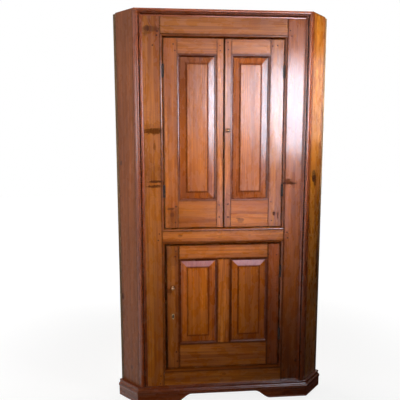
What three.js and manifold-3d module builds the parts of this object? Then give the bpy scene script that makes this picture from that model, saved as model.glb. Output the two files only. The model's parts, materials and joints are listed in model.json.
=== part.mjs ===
// A full-height pine corner cupboard: two panelled doors over one, in a moulded face frame with canted
// returns. Millimetres, +Z up. Sizes are worked out with the face frame's front as the plane y = 0, its
// middle as x = 0 and the floor as z = 0. The finished group is then moved so that its origin is the middle
// of its footprint.
import * as THREE from "three";
import { mergeVertices } from "three/addons/utils/BufferGeometryUtils.js";
import Module from "manifold-3d";

const wasm = await Module();
wasm.setup();

// Driving sizes of the whole cupboard.
const height = 2000;
const frontWidth = 890; // face frame, between the corners where it meets the returns
const returnDepth = 142; // each canted side, from that corner back to the wall
const slant = Math.PI / 4; // how far a return turns back: half of the room's square corner
const caseThickness = 26; // face frame and returns
const backThickness = 18;
const boardThickness = 20;

// Fits that every piece shares.
const seatGap = 0.3; // between two pieces that are fixed together
const runGap = 0.6; // round a piece that turns or slides
const overrun = 5; // how far a cutting shape passes the wood that it cuts
const hingeSides = 16;
const turnedSides = 20;
const mouldSteps = 6; // straight steps in each curve of a moulding

// The face frame's openings and rails.
const openingWidth = 606;
const lowerOpeningHeight = 676;
const bottomRailHigh = 172;
const middleRail = 81;
const topRail = 127;
const frameRim = { width: 12, depth: 10.5, quirk: 1.5 }; // ovolo run round each opening
const frameTenon = { front: 9, thickness: 8, stileShare: 0.35, insetShare: 0.3 };

// Doors.
const door = { recess: 6, behindFrame: 5, rail: 75, groove: 9, grooveWidth: 6.6 };
const doorRim = { width: 12, depth: 10.5, quirk: 1.5 };
const doorTenon = { front: 8, thickness: 7, stileShare: 0.7, insetShare: 0.25 };
const upperDoor = { endGap: 4, middleGap: 6, hingeStile: 68, meetingStile: 33, bottomRail: 139 };
const lowerDoor = { endGap: 5, lockGap: 8, stile: 63, muntin: 67, bottomRail: 132 };
const panel = { tongue: 8.5, bevel: 33, fieldStep: 3, fieldBelowFace: 4 };

// Moulding planted round the left, top and right of the face frame.
const edge = { width: 34, proud: 12, bead: 16, beadSpring: 6.5, quirk: 4, quirkHeight: 4.5 };
const edgeFillet = { width: 4, height: 7.5 };
const edgeCove = { toe: 1.5, toeWidth: 1.5 };

// Plinth with a moulded top, and the shallow arch between its front feet.
const plinth = { height: 86, thickness: 19, ledge: 13, mouldHeight: 36 };
const plinthBead = { radius: 3, quirk: 2 };
const plinthOvolo = { proud: 3.5, height: 17 };
const arch = { height: 43, floorWidth: 508, topWidth: 340 };

// Boards inside the case.
const backboardsPerWall = 3;
const upperBays = 3; // rooms between shelves behind the upper doors
const lowerBays = 2;
const boardDrop = 4; // from the top of the case, or the foot of an opening, down to its board
const doorStopGap = 0.5; // from a closed door's back to the shelf fronts that stop it

// Butt hinges, of two leaves on one pin.
const hinge = { height: 62, leafWidth: 21, leafThickness: 1.9, leafGap: 0.3 };
const hingeBarrel = { knuckles: 5, radius: 5.5 };
const hingePin = { radius: 2.2, inFrontOfDoor: 2 };
const upperHinges = { housing: 1, aboveDoorFoot: 189, belowDoorTop: 155 };
const lowerHinges = { housing: 0, aboveDoorFoot: 173, belowDoorTop: 148 };

// Knobs, catch, bolt and lock.
const knob = { radius: 8.5, length: 23, neckRadius: 4, baseRadius: 7, baseLength: 2 };
const turnCatch = { bayStepShare: 1.4, spindleRadius: 3.5, length: 42, width: 11, thickness: 3 };
const pullKnob = { aboveDoorFoot: 443, shankRadius: 2.5, shankLength: 13 };
const slideBolt = { aboveShelfShare: 0.68, headWidth: 12, headThickness: 2, stemWidth: 6 };
const slideButton = { radius: 5, length: 6, aboveBoltFoot: 18 };
const lock = { aboveDoorFoot: 287, fromDoorEdge: 32, height: 66, frontWood: 8.8, woodBeside: 7 };
const lockBolt = { thickness: 5, height: 10, length: 48, travel: 14, behindCaseFront: 3.2 };
const keyhole = { radius: 2.6, slotWidth: 3, length: 14.6 };
const escutcheon = { radius: 6.5, tailRadius: 4.6, length: 29, thickness: 2, proud: 0.8 };

// Finishes.
const finish = (color, roughness, metalness = 0) =>
  new THREE.MeshStandardMaterial({ color, roughness, metalness });
const finishes = {
  frame: finish(0x9a5a26, 0.35),
  panel: finish(0xa8642c, 0.32),
  moulding: finish(0x7d4420, 0.35),
  inside: finish(0xa9825a, 0.7),
  back: finish(0x8a6b4a, 0.85),
  iron: finish(0x2c2623, 0.55, 0.8),
  brass: finish(0xa8895a, 0.35, 0.9),
};

// Sizes that follow from the ones above.
const frontHalf = frontWidth / 2;
const openingHalf = openingWidth / 2;
const mitreStep = Math.tan(slant / 2); // sideways step of the front corner for each unit of offset
const doorFront = door.recess;
const doorBack = caseThickness + door.behindFrame;
const pinY = doorFront - hingePin.inFrontOfDoor;
const leafRoom = hinge.leafGap + hinge.leafThickness + seatGap; // one leaf's share of the gap beside a door
const wallLength = (frontHalf + returnDepth * Math.cos(slant)) / Math.sin(slant);
const wallCornerY = returnDepth * Math.sin(slant) + wallLength * Math.cos(slant);
const topBoardHigh = height - boardDrop;
const lowerOpening = { low: bottomRailHigh, high: bottomRailHigh + lowerOpeningHeight };
const upperOpening = { low: lowerOpening.high + middleRail, high: height - topRail };
const plinthReach = plinth.thickness + plinthOvolo.proud;

const cupboard = new THREE.Group();
const assembly = new THREE.Group();
assembly.position.y = -(wallCornerY - plinthReach) / 2;
cupboard.add(assembly);

// Solids: three.js makes each shape, and manifold-3d joins and cuts them.

function solidOf(geometry) {
  const bare = geometry.index ? geometry.toNonIndexed() : geometry.clone();
  bare.deleteAttribute("normal");
  bare.deleteAttribute("uv");
  const merged = mergeVertices(bare);
  return new wasm.Manifold(
    new wasm.Mesh({
      numProp: 3,
      vertProperties: new Float32Array(merged.attributes.position.array),
      triVerts: new Uint32Array(merged.index.array),
    }),
  );
}

function geometryOf(solid) {
  const mesh = solid.getMesh();
  const geometry = new THREE.BufferGeometry();
  geometry.setAttribute("position", new THREE.BufferAttribute(new Float32Array(mesh.vertProperties), 3));
  geometry.setIndex(new THREE.BufferAttribute(new Uint32Array(mesh.triVerts), 1));
  const faceted = geometry.toNonIndexed();
  faceted.computeVertexNormals();
  return faceted;
}

const joined = (...solids) => solids.reduce((whole, more) => whole.add(more));
const cut = (solid, ...tools) => tools.reduce((left, tool) => left.subtract(tool), solid);

function addPiece(name, solid, material) {
  const mesh = new THREE.Mesh(geometryOf(solid), material);
  mesh.name = name;
  assembly.add(mesh);
}

const shapeOf = (points) => new THREE.Shape(points.map(([a, b]) => new THREE.Vector2(a, b)));

// A shape's first coordinate runs along `out`, its second along `up`, and it is extruded from start to end.
function extruded(shape, start, end, out, up) {
  const along = new THREE.Vector3().crossVectors(out, up).normalize();
  const run = new THREE.Vector3().subVectors(end, start);
  const origin = run.dot(along) < 0 ? end : start;
  const geometry = new THREE.ExtrudeGeometry(shape, { depth: run.length(), bevelEnabled: false });
  const basis = new THREE.Matrix4().makeBasis(out, up, along).setPosition(origin);
  return solidOf(geometry.applyMatrix4(basis));
}

const axisX = new THREE.Vector3(1, 0, 0);
const axisY = new THREE.Vector3(0, 1, 0);
const axisZ = new THREE.Vector3(0, 0, 1);

// Plan outline [x, y], raised from one height to another.
const raised = (points, low, high) =>
  extruded(shapeOf(points), new THREE.Vector3(0, 0, low), new THREE.Vector3(0, 0, high), axisX, axisY);

// Front outline [x, z], from one depth back to another.
const fromFront = (points, front, back) =>
  extruded(shapeOf(points), new THREE.Vector3(0, front, 0), new THREE.Vector3(0, back, 0), axisX, axisZ);

// Side outline [y, z], from one x to another.
const fromSide = (points, left, right) =>
  extruded(shapeOf(points), new THREE.Vector3(left, 0, 0), new THREE.Vector3(right, 0, 0), axisY, axisZ);

const rectangle = (a0, a1, b0, b1) => [[a0, b0], [a1, b0], [a1, b1], [a0, b1]];

const block = (x0, x1, y0, y1, z0, z1) => raised(rectangle(x0, x1, y0, y1), z0, z1);

function uprightCylinder(x, y, radius, low, high) {
  const geometry = new THREE.CylinderGeometry(radius, radius, high - low, hingeSides);
  geometry.rotateX(Math.PI / 2).translate(x, y, (low + high) / 2);
  return solidOf(geometry);
}

// A turned shape on an axis that runs front to back: profile points are [radius, y].
function turned(profile, x, z) {
  const points = profile.map(([radius, y]) => new THREE.Vector2(radius, y));
  return solidOf(new THREE.LatheGeometry(points, turnedSides).translate(x, 0, z));
}

const rod = (radius, x, z, front, back) =>
  turned([[0, front], [radius, front], [radius, back], [0, back]], x, z);

// A solid with one section seen from above, [x, y], and another seen from the side, [z, y].
function crossed(planSection, sideSection) {
  const reach = (points) => [
    Math.min(...points.map(([a]) => a)) - overrun,
    Math.max(...points.map(([a]) => a)) + overrun,
  ];
  const [low, high] = reach(sideSection);
  const [left, right] = reach(planSection);
  return raised(planSection, low, high).intersect(
    fromSide(sideSection.map(([z, y]) => [y, z]), left, right),
  );
}

const quarter = (step) => (step / mouldSteps) * (Math.PI / 2);
const curveSteps = Array.from({ length: mouldSteps + 1 }, (_, step) => step);

// Frames with a moulded rim round each opening. The rim of a stile and of a rail meet in a mitre.

// What a rim's section leaves open: [distance outside the opening, distance behind the face].
function rimSection(rim) {
  const round = rim.width - rim.quirk;
  const drop = rim.depth - rim.quirk;
  const curve = curveSteps.map((step) => [
    round * (1 - Math.sin(quarter(step))),
    rim.quirk + drop * (1 - Math.cos(quarter(step))),
  ]);
  return [[rim.width, -overrun], [rim.width, rim.quirk], ...curve];
}

// Cuts an opening right through a frame, with its rim and, on a door, the groove that holds the panel.
function openingTool(opening, rim, front, back, groove = 0, grooveWidth = 0) {
  const lip = rimSection(rim).map(([out, y]) => [out, front + y]);
  const grooveFront = front + rim.depth;
  const inner = groove
    ? [[groove, grooveFront], [groove, grooveFront + grooveWidth], [0, grooveFront + grooveWidth]]
    : [];
  const wall = [...lip, ...inner, [0, back + overrun]];
  const channel = (low, high) => [
    ...wall.map(([out, y]) => [high + out, y]),
    ...wall.map(([out, y]) => [low - out, y]).reverse(),
  ];
  return crossed(channel(opening.left, opening.right), channel(opening.low, opening.high));
}

// One edge of a stile or rail: it stands at `shoulder`, and reaches to the opening along each span.
function rimmedEdge(shoulder, reach, spans, width, start, end) {
  const points = [];
  for (const [a, b] of spans)
    points.push([a - width, shoulder], [a, reach], [b, reach], [b + width, shoulder]);
  if (!spans.length) points.push([start, shoulder], [end, shoulder]);
  if (points[0][0] > start) points.unshift([start, shoulder]);
  if (points.at(-1)[0] < end) points.push([end, shoulder]);
  return points;
}

// The two points at each end of a rail's edge, drawn in so that the rail clears the stiles.
const drawnIn = (points) =>
  points.map(([a, b], i) => {
    if (points.length === 2) return [i ? a - seatGap : a + seatGap, b];
    if (i < 2) return [a + seatGap, b];
    return i >= points.length - 2 ? [a - seatGap, b] : [a, b];
  });

const outlineOf = (lower, upper) => [...lower, ...upper.slice().reverse()];
const turnedOver = (points) => points.map(([a, b]) => [b, a]);

// Front outline of a stile whose inner edge faces the openings; `inward` is +1 for a left stile.
function stileOutline(outer, opening, inward, rim, spans, low, high) {
  const shoulder = opening - inward * rim.width;
  const inner = rimmedEdge(shoulder, opening, spans, rim.width, low, high);
  return turnedOver(outlineOf([[low, outer], [high, outer]], inner));
}

function railOutline(left, right, lower, upper) {
  const edgeOf = ({ shoulder, reach = shoulder, spans = [], rim }) =>
    drawnIn(rimmedEdge(shoulder, reach, spans, rim.width, left, right));
  return outlineOf(edgeOf(lower), edgeOf(upper));
}

// A rail's two tenons, or the mortises that take them when `gap` is given. `rail` is its front rectangle.
function tenons(rail, tenon, front, lengths, gap = 0) {
  const inset = (rail.high - rail.low) * tenon.insetShare;
  const tenonBlock = (left, right) =>
    block(
      left,
      right,
      front + tenon.front - gap,
      front + tenon.front + tenon.thickness + gap,
      rail.low + inset - gap,
      rail.high - inset + gap,
    );
  return [
    tenonBlock(rail.left - lengths.left - gap, rail.left + seatGap + overrun),
    tenonBlock(rail.right - seatGap - overrun, rail.right + lengths.right + gap),
  ];
}

// Face frame.

const frameShoulder = openingHalf + frameRim.width;
const frameOpenings = [lowerOpening, upperOpening].map((opening) => ({
  left: -openingHalf,
  right: openingHalf,
  ...opening,
}));
const frameTools = frameOpenings.map((opening) => openingTool(opening, frameRim, 0, caseThickness));

const frameTenonLength = (frontHalf - frameShoulder) * frameTenon.stileShare;

const frameRails = [
  { name: "bottom_rail", low: plinth.height - plinth.mouldHeight, high: lowerOpening.low, above: true },
  { name: "middle_rail", low: lowerOpening.high, high: upperOpening.low, below: true, above: true },
  { name: "top_rail", low: upperOpening.high, high: height, below: true },
];

function frameRailTenons(rail, gap) {
  const body = { left: -frameShoulder, right: frameShoulder, low: rail.low, high: rail.high };
  return tenons(body, frameTenon, 0, { left: frameTenonLength, right: frameTenonLength }, gap);
}

// The side of the mitre plane that the return board takes, at the right front corner.
function cornerMitre(gap) {
  const back = caseThickness + overrun;
  const far = frontHalf + back;
  return [
    [frontHalf - gap + overrun * mitreStep, -overrun],
    [far, -overrun],
    [far, back],
    [frontHalf - gap - back * mitreStep, back],
  ];
}

const mirrored = (points, side) => points.map(([x, y]) => [side * x, y]);
const sides = [
  { side: -1, name: "left" },
  { side: 1, name: "right" },
];

function frameStile({ side, name }, housings) {
  const spans = frameOpenings.map(({ low, high }) => [low, high]);
  const outline = stileOutline(side * frontHalf, side * openingHalf, -side, frameRim, spans, 0, height);
  const mitre = raised(mirrored(cornerMitre(seatGap / 2), side), -overrun, height + overrun);
  const mortises = frameRails.flatMap((rail) => frameRailTenons(rail, seatGap));
  const stile = cut(fromFront(outline, 0, caseThickness), mitre, ...frameTools, ...mortises, ...housings);
  addPiece(name + "_stile", stile, finishes.frame);
}

function frameRail(rail) {
  const open = { spans: [[-openingHalf, openingHalf]], rim: frameRim };
  const plain = { rim: frameRim };
  const lower = rail.below
    ? { ...open, shoulder: rail.low + frameRim.width, reach: rail.low }
    : { ...plain, shoulder: rail.low };
  const upper = rail.above
    ? { ...open, shoulder: rail.high - frameRim.width, reach: rail.high }
    : { ...plain, shoulder: rail.high };
  const outline = railOutline(-frameShoulder, frameShoulder, lower, upper);
  const body = joined(fromFront(outline, 0, caseThickness), ...frameRailTenons(rail, 0));
  addPiece(rail.name, cut(body, ...frameTools), finishes.frame);
}

// Points of the right return: along it from the front corner, and out from its face.
const onReturn = (along, out) => [
  frontHalf + along * Math.cos(slant) + out * Math.sin(slant),
  along * Math.sin(slant) - out * Math.cos(slant),
];

function returnBoard({ side, name }) {
  const gap = seatGap / 2;
  const end = returnDepth - backThickness - seatGap;
  const outline = [
    onReturn(gap, 0),
    onReturn(end, 0),
    onReturn(end, -caseThickness),
    onReturn(caseThickness * mitreStep + gap, -caseThickness),
  ];
  addPiece(name + "_return", raised(mirrored(outline, side), 0, height), finishes.frame);
}

// The boards on one wall. The last ones of the two walls meet in a mitre at the corner.
function backboards({ side, name }) {
  const step = wallLength / backboardsPerWall;
  for (let i = 0; i < backboardsPerWall; i += 1) {
    const last = i === backboardsPerWall - 1;
    const start = i ? i * step + seatGap : 0;
    const end = (i + 1) * step;
    const mitre = last ? backThickness / Math.tan(slant) : 0;
    const short = last ? seatGap : 0;
    const outline = [
      onReturn(returnDepth - backThickness, -start),
      onReturn(returnDepth, -start),
      onReturn(returnDepth, -end + short),
      onReturn(returnDepth - backThickness, -end + mitre + short),
    ];
    const board = raised(mirrored(outline, side), 0, topBoardHigh);
    addPiece(name + "_backboard_" + (i + 1), board, finishes.back);
  }
}

// A board across the whole inside of the case, from a front edge back to the corner.
function insideBoard(name, front, high) {
  const along = returnDepth - backThickness - seatGap;
  const inner = -caseThickness - seatGap;
  const [wideX, wideY] = onReturn(along, inner);
  const [faceX, faceY] = onReturn(0, inner);
  const frontX = faceX + (front - faceY) / Math.tan(slant);
  const backY = wideY + wideX / Math.tan(slant);
  const outline = [[-frontX, front], [frontX, front], [wideX, wideY], [0, backY], [-wideX, wideY]];
  addPiece(name, raised(outline, high - boardThickness, high), finishes.inside);
}

// Edge moulding.

// Section of the moulding: [distance in from the outer edge, height above the face].
function edgeSection() {
  const crest = edge.bead / 2;
  const bead = Array.from({ length: 2 * mouldSteps + 1 }, (_, step) => [
    crest * (1 - Math.cos(quarter(step))),
    edge.beadSpring + (edge.proud - edge.beadSpring) * Math.sin(quarter(step)),
  ]);
  const filletStart = edge.bead + edge.quirk;
  const coveStart = filletStart + edgeFillet.width;
  const coveEnd = edge.width - edgeCove.toeWidth;
  const cove = curveSteps.map((step) => [
    coveEnd - (coveEnd - coveStart) * Math.cos(quarter(step)),
    edgeFillet.height - (edgeFillet.height - edgeCove.toe) * Math.sin(quarter(step)),
  ]);
  return [
    [0, seatGap],
    ...bead,
    [edge.bead, edge.quirkHeight],
    [filletStart, edge.quirkHeight],
    [filletStart, edgeFillet.height],
    ...cove,
    [edge.width, edgeCove.toe],
    [edge.width, seatGap],
  ];
}

const outerArris = frontHalf - edge.proud / Math.tan(slant);

function sideMoulding({ side, name }) {
  const crest = edge.bead / 2;
  const outline = edgeSection().map(([inward, out]) => {
    const flare = inward <= crest ? (edge.proud - out) / Math.tan(slant) : 0;
    return [side * (outerArris - inward + flare), -out];
  });
  const bar = raised(outline, plinth.height + seatGap, height);
  const near = outerArris + seatGap;
  const deep = edge.width + overrun;
  const above = [
    [near, height],
    [near - deep, height - deep],
    [near - deep, height + overrun],
    [near, height + overrun],
  ];
  const mitre = fromFront(mirrored(above, side), -edge.proud - overrun, overrun);
  addPiece(name + "_edge_moulding", cut(bar, mitre), finishes.moulding);
}

function topMoulding() {
  const outline = edgeSection().map(([down, out]) => [-out, height - down]);
  const bar = fromSide(outline, -outerArris, outerArris);
  const deep = edge.width + overrun;
  const far = outerArris + overrun;
  const below = [
    [outerArris, height],
    [outerArris - deep, height - deep],
    [far, height - deep],
    [far, height],
  ];
  const mitres = sides.map(({ side }) => fromFront(mirrored(below, side), -edge.proud - overrun, overrun));
  addPiece("top_edge_moulding", cut(bar, ...mitres), finishes.moulding);
}

// Plinth.

// Section of the plinth: [distance out from the case, height].
function plinthSection() {
  const mouldLow = plinth.height - plinth.mouldHeight;
  const bead = plinthBead.radius;
  const beadCentre = [plinth.ledge, plinth.height - bead];
  const beadCurve = Array.from({ length: 2 * mouldSteps - 1 }, (_, step) => [
    beadCentre[0] + bead * Math.sin(quarter(step)),
    beadCentre[1] + bead * Math.cos(quarter(step)),
  ]);
  const quirkHigh = beadCentre[1] - bead;
  const ovoloTop = mouldLow + plinthOvolo.height;
  const coveHigh = quirkHigh - plinthBead.quirk;
  const cove = curveSteps.map((step) => [
    plinth.thickness - (plinth.thickness - plinth.ledge) * Math.cos(quarter(step)),
    ovoloTop + (coveHigh - ovoloTop) * (1 - Math.sin(quarter(step))),
  ]);
  const ovolo = Array.from({ length: 2 * mouldSteps + 1 }, (_, step) => [
    plinth.thickness + plinthOvolo.proud * Math.sin(quarter(step)),
    mouldLow + (plinthOvolo.height * (1 + Math.cos(quarter(step)))) / 2,
  ]);
  return [
    [seatGap, 0],
    [seatGap, plinth.height],
    ...beadCurve,
    [plinth.ledge, quirkHigh],
    ...cove,
    ...ovolo.slice(1),
    [plinth.thickness, 0],
  ];
}

// The line of the plinth's right corner mitre, seen from above, from inside the case to beyond the plinth.
const plinthMitre = (shift) => [
  [frontHalf + shift - overrun * mitreStep, overrun],
  [frontHalf + shift + (plinthReach + overrun) * mitreStep, -plinthReach - overrun],
];

function archTool() {
  const run = (arch.floorWidth - arch.topWidth) / 2;
  const right = Array.from({ length: 2 * mouldSteps + 1 }, (_, step) => [
    arch.floorWidth / 2 - (run * step) / (2 * mouldSteps),
    (arch.height * (1 - Math.cos(quarter(step)))) / 2,
  ]);
  const left = right.map(([x, z]) => [-x, z]).reverse();
  const outline = [[arch.floorWidth / 2, -overrun], ...right, ...left, [-arch.floorWidth / 2, -overrun]];
  return fromFront(outline, -plinthReach - overrun, overrun);
}

function plinthFront() {
  const outline = plinthSection().map(([out, z]) => [-out, z]);
  const end = frontHalf + plinthReach;
  const far = end + overrun;
  const beyond = [...plinthMitre(-seatGap / 2), [far, -plinthReach - overrun], [far, overrun]];
  const mitres = sides.map(({ side }) => raised(mirrored(beyond, side), -overrun, plinth.height + overrun));
  addPiece("plinth_front", cut(fromSide(outline, -end, end), ...mitres, archTool()), finishes.moulding);
}

function plinthReturn({ side, name }) {
  const out = new THREE.Vector3(side * Math.sin(slant), -Math.cos(slant), 0);
  const at = (along) => {
    const [x, y] = onReturn(along, 0);
    return new THREE.Vector3(side * x, y, 0);
  };
  const bar = extruded(shapeOf(plinthSection()), at(-plinthReach * mitreStep), at(returnDepth), out, axisZ);
  const inFront = [...plinthMitre(seatGap / 2), [0, -plinthReach - overrun], [0, overrun]];
  const mitre = raised(mirrored(inFront, side), -overrun, plinth.height + overrun);
  addPiece("plinth_" + name, cut(bar, mitre), finishes.moulding);
}

// Hinges.

// The two leaves of a hinge on the given side of the case, with the pin fixed in the door's leaf.
function hingeLeaves(side, pinX, middle) {
  const low = middle - hinge.height / 2;
  const high = middle + hinge.height / 2;
  const step = hinge.height / hingeBarrel.knuckles;
  const plate = (outward) => {
    const near = pinX + outward * hinge.leafGap;
    const far = near + outward * hinge.leafThickness;
    return block(Math.min(near, far), Math.max(near, far), pinY, pinY + hinge.leafWidth, low, high);
  };
  const knuckle = (i, radius, gap) =>
    uprightCylinder(pinX, pinY, radius, low + i * step - gap, low + (i + 1) * step + gap);
  const order = Array.from({ length: hingeBarrel.knuckles }, (_, i) => i);
  const frameOnes = order.filter((i) => i % 2 === 0);
  const doorOnes = order.filter((i) => i % 2 === 1);
  const slack = hingeBarrel.radius + runGap;
  const barrels = (list) => list.map((i) => knuckle(i, hingeBarrel.radius, -seatGap / 2));
  const clearOf = (list) => list.map((i) => knuckle(i, slack, seatGap / 2));
  const hole = uprightCylinder(pinX, pinY, hingePin.radius + seatGap, low - overrun, high + overrun);
  const pin = uprightCylinder(pinX, pinY, hingePin.radius, low + seatGap / 2, high - seatGap / 2);
  return {
    frameLeaf: cut(joined(cut(plate(side), ...clearOf(doorOnes)), ...barrels(frameOnes)), hole),
    doorLeaf: joined(cut(plate(-side), ...clearOf(frameOnes)), ...barrels(doorOnes), pin),
  };
}

// The room that a hinge takes in the edges of the door and of the face frame.
function hingeHousing(pinX, middle) {
  const low = middle - hinge.height / 2 - seatGap;
  const high = middle + hinge.height / 2 + seatGap;
  return joined(
    block(pinX - leafRoom, pinX + leafRoom, -overrun, pinY + hinge.leafWidth + seatGap, low, high),
    uprightCylinder(pinX, pinY, hingeBarrel.radius + runGap, low, high),
  );
}

function addHinges(doorName, side, pinX, heights) {
  const places = ["lower", "upper"];
  heights.forEach((middle, i) => {
    const { frameLeaf, doorLeaf } = hingeLeaves(side, pinX, middle);
    addPiece(doorName + "_" + places[i] + "_hinge_frame_leaf", frameLeaf, finishes.iron);
    addPiece(doorName + "_" + places[i] + "_hinge_door_leaf", doorLeaf, finishes.iron);
  });
}

// Doors.

// A raised and fielded panel: its tongue lies in the groove, and a bevel climbs to the stepped field.
function fieldedPanel(name, opening) {
  const tongueFront = doorFront + doorRim.depth + seatGap;
  const back = doorFront + doorRim.depth + door.grooveWidth - seatGap;
  const field = doorFront + panel.fieldBelowFace;
  const section = (low, high) => {
    const start = low - panel.tongue;
    const end = high + panel.tongue;
    const bevelEnd = low + panel.bevel;
    const rise = [[low, tongueFront], [bevelEnd, field + panel.fieldStep], [bevelEnd, field]];
    const fall = rise.map(([a, y]) => [low + high - a, y]).reverse();
    return [[start, back], [start, tongueFront], ...rise, ...fall, [end, tongueFront], [end, back]];
  };
  const body = crossed(section(opening.left, opening.right), section(opening.low, opening.high));
  addPiece(name, body, finishes.panel);
}

// Where a door's stiles end and its openings lie, from the widths of its stiles, rails and muntin.
function doorLayout(box, members) {
  const rim = doorRim.width;
  const left = box.left + members.leftStile;
  const right = box.right - members.rightStile;
  const low = box.low + members.bottomRail + rim;
  const high = box.high - door.rail - rim;
  const middle = (left + right) / 2;
  const whole = { left: left + rim, right: right - rim, low, high };
  const muntinHalf = (members.muntin ?? 0) / 2 + rim;
  const halves = [{ ...whole, right: middle - muntinHalf }, { ...whole, left: middle + muntinHalf }];
  return { left, right, low, high, middle, openings: members.muntin ? halves : [whole] };
}

const slab = (outline) => fromFront(outline, doorFront, doorBack);

function doorStiles(prefix, box, members, layout, cuts, ownCuts) {
  const span = [[layout.low, layout.high]];
  const rim = doorRim.width;
  const outlines = {
    left: stileOutline(box.left, layout.left + rim, 1, doorRim, span, box.low, box.high),
    right: stileOutline(box.right, layout.right - rim, -1, doorRim, span, box.low, box.high),
  };
  for (const [name, outline] of Object.entries(outlines)) {
    const stile = cut(slab(outline), ...cuts, ...(ownCuts[name] ?? []));
    addPiece(prefix + "_" + members.stileNames[name], stile, finishes.frame);
  }
}

// A door's rail. `open` is the side that the panels are on, and its edge there stands at `reach`.
function doorRail(name, rail, layout, railTenons, tools) {
  const rim = doorRim.width;
  const spans = layout.openings.map(({ left, right }) => [left, right]);
  const rimmed = rail.open === "above"
    ? { shoulder: rail.high - rim, reach: rail.high, spans, rim: doorRim }
    : { shoulder: rail.low + rim, reach: rail.low, spans, rim: doorRim };
  const lower = rail.open === "above" ? { shoulder: rail.low, rim: doorRim } : rimmed;
  const upper = rail.open === "above" ? rimmed : { shoulder: rail.high, rim: doorRim };
  const outline = railOutline(layout.left, layout.right, lower, upper);
  addPiece(name, cut(joined(slab(outline), ...railTenons), ...tools), finishes.frame);
}

function doorMuntin(name, width, layout, tools) {
  const rim = doorRim.width;
  const span = [[layout.low, layout.high]];
  const low = layout.low - rim;
  const high = layout.high + rim;
  const side = (inward) => {
    const shoulder = layout.middle - (inward * width) / 2;
    return drawnIn(rimmedEdge(shoulder, shoulder - inward * rim, span, rim, low, high));
  };
  addPiece(name, cut(slab(turnedOver(outlineOf(side(1), side(-1)))), ...tools), finishes.frame);
}

// A framed and panelled door: two stiles, two rails, a muntin between panels if it has two, and its panels.
function framedDoor(prefix, box, members, ownCuts) {
  const layout = doorLayout(box, members);
  const tools = layout.openings.map((opening) =>
    openingTool(opening, doorRim, doorFront, doorBack, door.groove, door.grooveWidth),
  );
  const rails = [
    { name: "bottom_rail", low: box.low, high: layout.low, open: "above" },
    { name: "top_rail", low: layout.high, high: box.high, open: "below" },
  ];
  const lengths = {
    left: members.leftStile * doorTenon.stileShare,
    right: members.rightStile * doorTenon.stileShare,
  };
  const railTenons = (rail, gap) =>
    tenons({ ...rail, left: layout.left, right: layout.right }, doorTenon, doorFront, lengths, gap);
  const mortises = rails.flatMap((rail) => railTenons(rail, seatGap));
  doorStiles(prefix, box, members, layout, [...tools, ...mortises], ownCuts);
  for (const rail of rails) doorRail(prefix + "_" + rail.name, rail, layout, railTenons(rail, 0), tools);
  if (members.muntin) doorMuntin(prefix + "_muntin", members.muntin, layout, tools);
  const panelNames = members.muntin ? ["_left_panel", "_right_panel"] : ["_panel"];
  layout.openings.forEach((opening, i) => fieldedPanel(prefix + panelNames[i], opening));
}

// Knobs, catch, bolt and lock.

// A small turned knob: round head, neck and base, from its front back to its seat on the door.
function knobProfile(seat) {
  const headCentre = seat - knob.length + knob.radius;
  const neckAngle = Math.asin(knob.neckRadius / knob.radius);
  const headSteps = 2 * mouldSteps;
  const head = Array.from({ length: headSteps + 1 }, (_, step) => {
    const angle = Math.PI - (step / headSteps) * (Math.PI - neckAngle);
    return [knob.radius * Math.sin(angle), headCentre + knob.radius * Math.cos(angle)];
  });
  return [
    [0, seat - knob.length],
    ...head.slice(1),
    [knob.neckRadius, seat - knob.baseLength],
    [knob.baseRadius, seat - knob.baseLength],
    [knob.baseRadius, seat],
  ];
}

// A knob on a shank that runs back into or through the door.
function knobOnShank(x, z, shankRadius, shankEnd) {
  const seat = doorFront - seatGap;
  const profile = [...knobProfile(seat), [shankRadius, seat], [shankRadius, shankEnd], [0, shankEnd]];
  return turned(profile, x, z);
}

// Front outline of two round ends, one above the other, and the straight sides between them.
function roundEnded(x, topZ, topRadius, footZ, footRadius) {
  const lean = Math.asin((topRadius - footRadius) / (topZ - footZ));
  const shape = new THREE.Shape();
  shape.absarc(x, topZ, topRadius, -lean, Math.PI + lean, false);
  shape.absarc(x, footZ, footRadius, Math.PI + lean, 2 * Math.PI - lean, false);
  return shape.extractPoints(mouldSteps).shape.map((point) => [point.x, point.y]);
}

// A bar that hangs down from a spindle at (x, z).
function roundEndedBar(x, z, width, length, front, back) {
  const radius = width / 2;
  return fromFront(roundEnded(x, z, radius, z - length + radius, radius), front, back);
}

// Round end at the top, tapered tail below: the outline of a keyhole or of the plate round it.
function keyholeOutline(x, z, radius, tailRadius, length) {
  return roundEnded(x, z + length / 2 - radius, radius, z - length / 2 + tailRadius, tailRadius);
}

// The pieces, in place.

const upperPinX = openingHalf - (leafRoom - upperHinges.housing);
const lowerPinX = openingHalf - (leafRoom - lowerHinges.housing);
const upperBox = {
  low: upperOpening.low + upperDoor.endGap,
  high: upperOpening.high - upperDoor.endGap,
  outer: upperPinX - (leafRoom - upperHinges.housing),
  inner: upperDoor.middleGap / 2,
};
const lowerBox = {
  left: -openingHalf + lowerDoor.lockGap,
  right: lowerPinX - (leafRoom - lowerHinges.housing),
  low: lowerOpening.low + lowerDoor.endGap,
  high: lowerOpening.high - lowerDoor.endGap,
};
const hingeHeights = (box, hinges) => [box.low + hinges.aboveDoorFoot, box.high - hinges.belowDoorTop];
const upperHingeHeights = hingeHeights(upperBox, upperHinges);
const lowerHingeHeights = hingeHeights(lowerBox, lowerHinges);
const upperHousings = (side) => upperHingeHeights.map((z) => hingeHousing(side * upperPinX, z));
const lowerHousings = lowerHingeHeights.map((z) => hingeHousing(lowerPinX, z));

// Heights of the boards' tops. The shelves split the upper and the lower room into equal bays.
const middleBoardHigh = upperOpening.low - boardDrop;
const floorBoardHigh = lowerOpening.low - boardDrop;
const upperBayStep = (topBoardHigh - middleBoardHigh) / upperBays;
const lowerBayStep = (middleBoardHigh - floorBoardHigh) / lowerBays;

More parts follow.
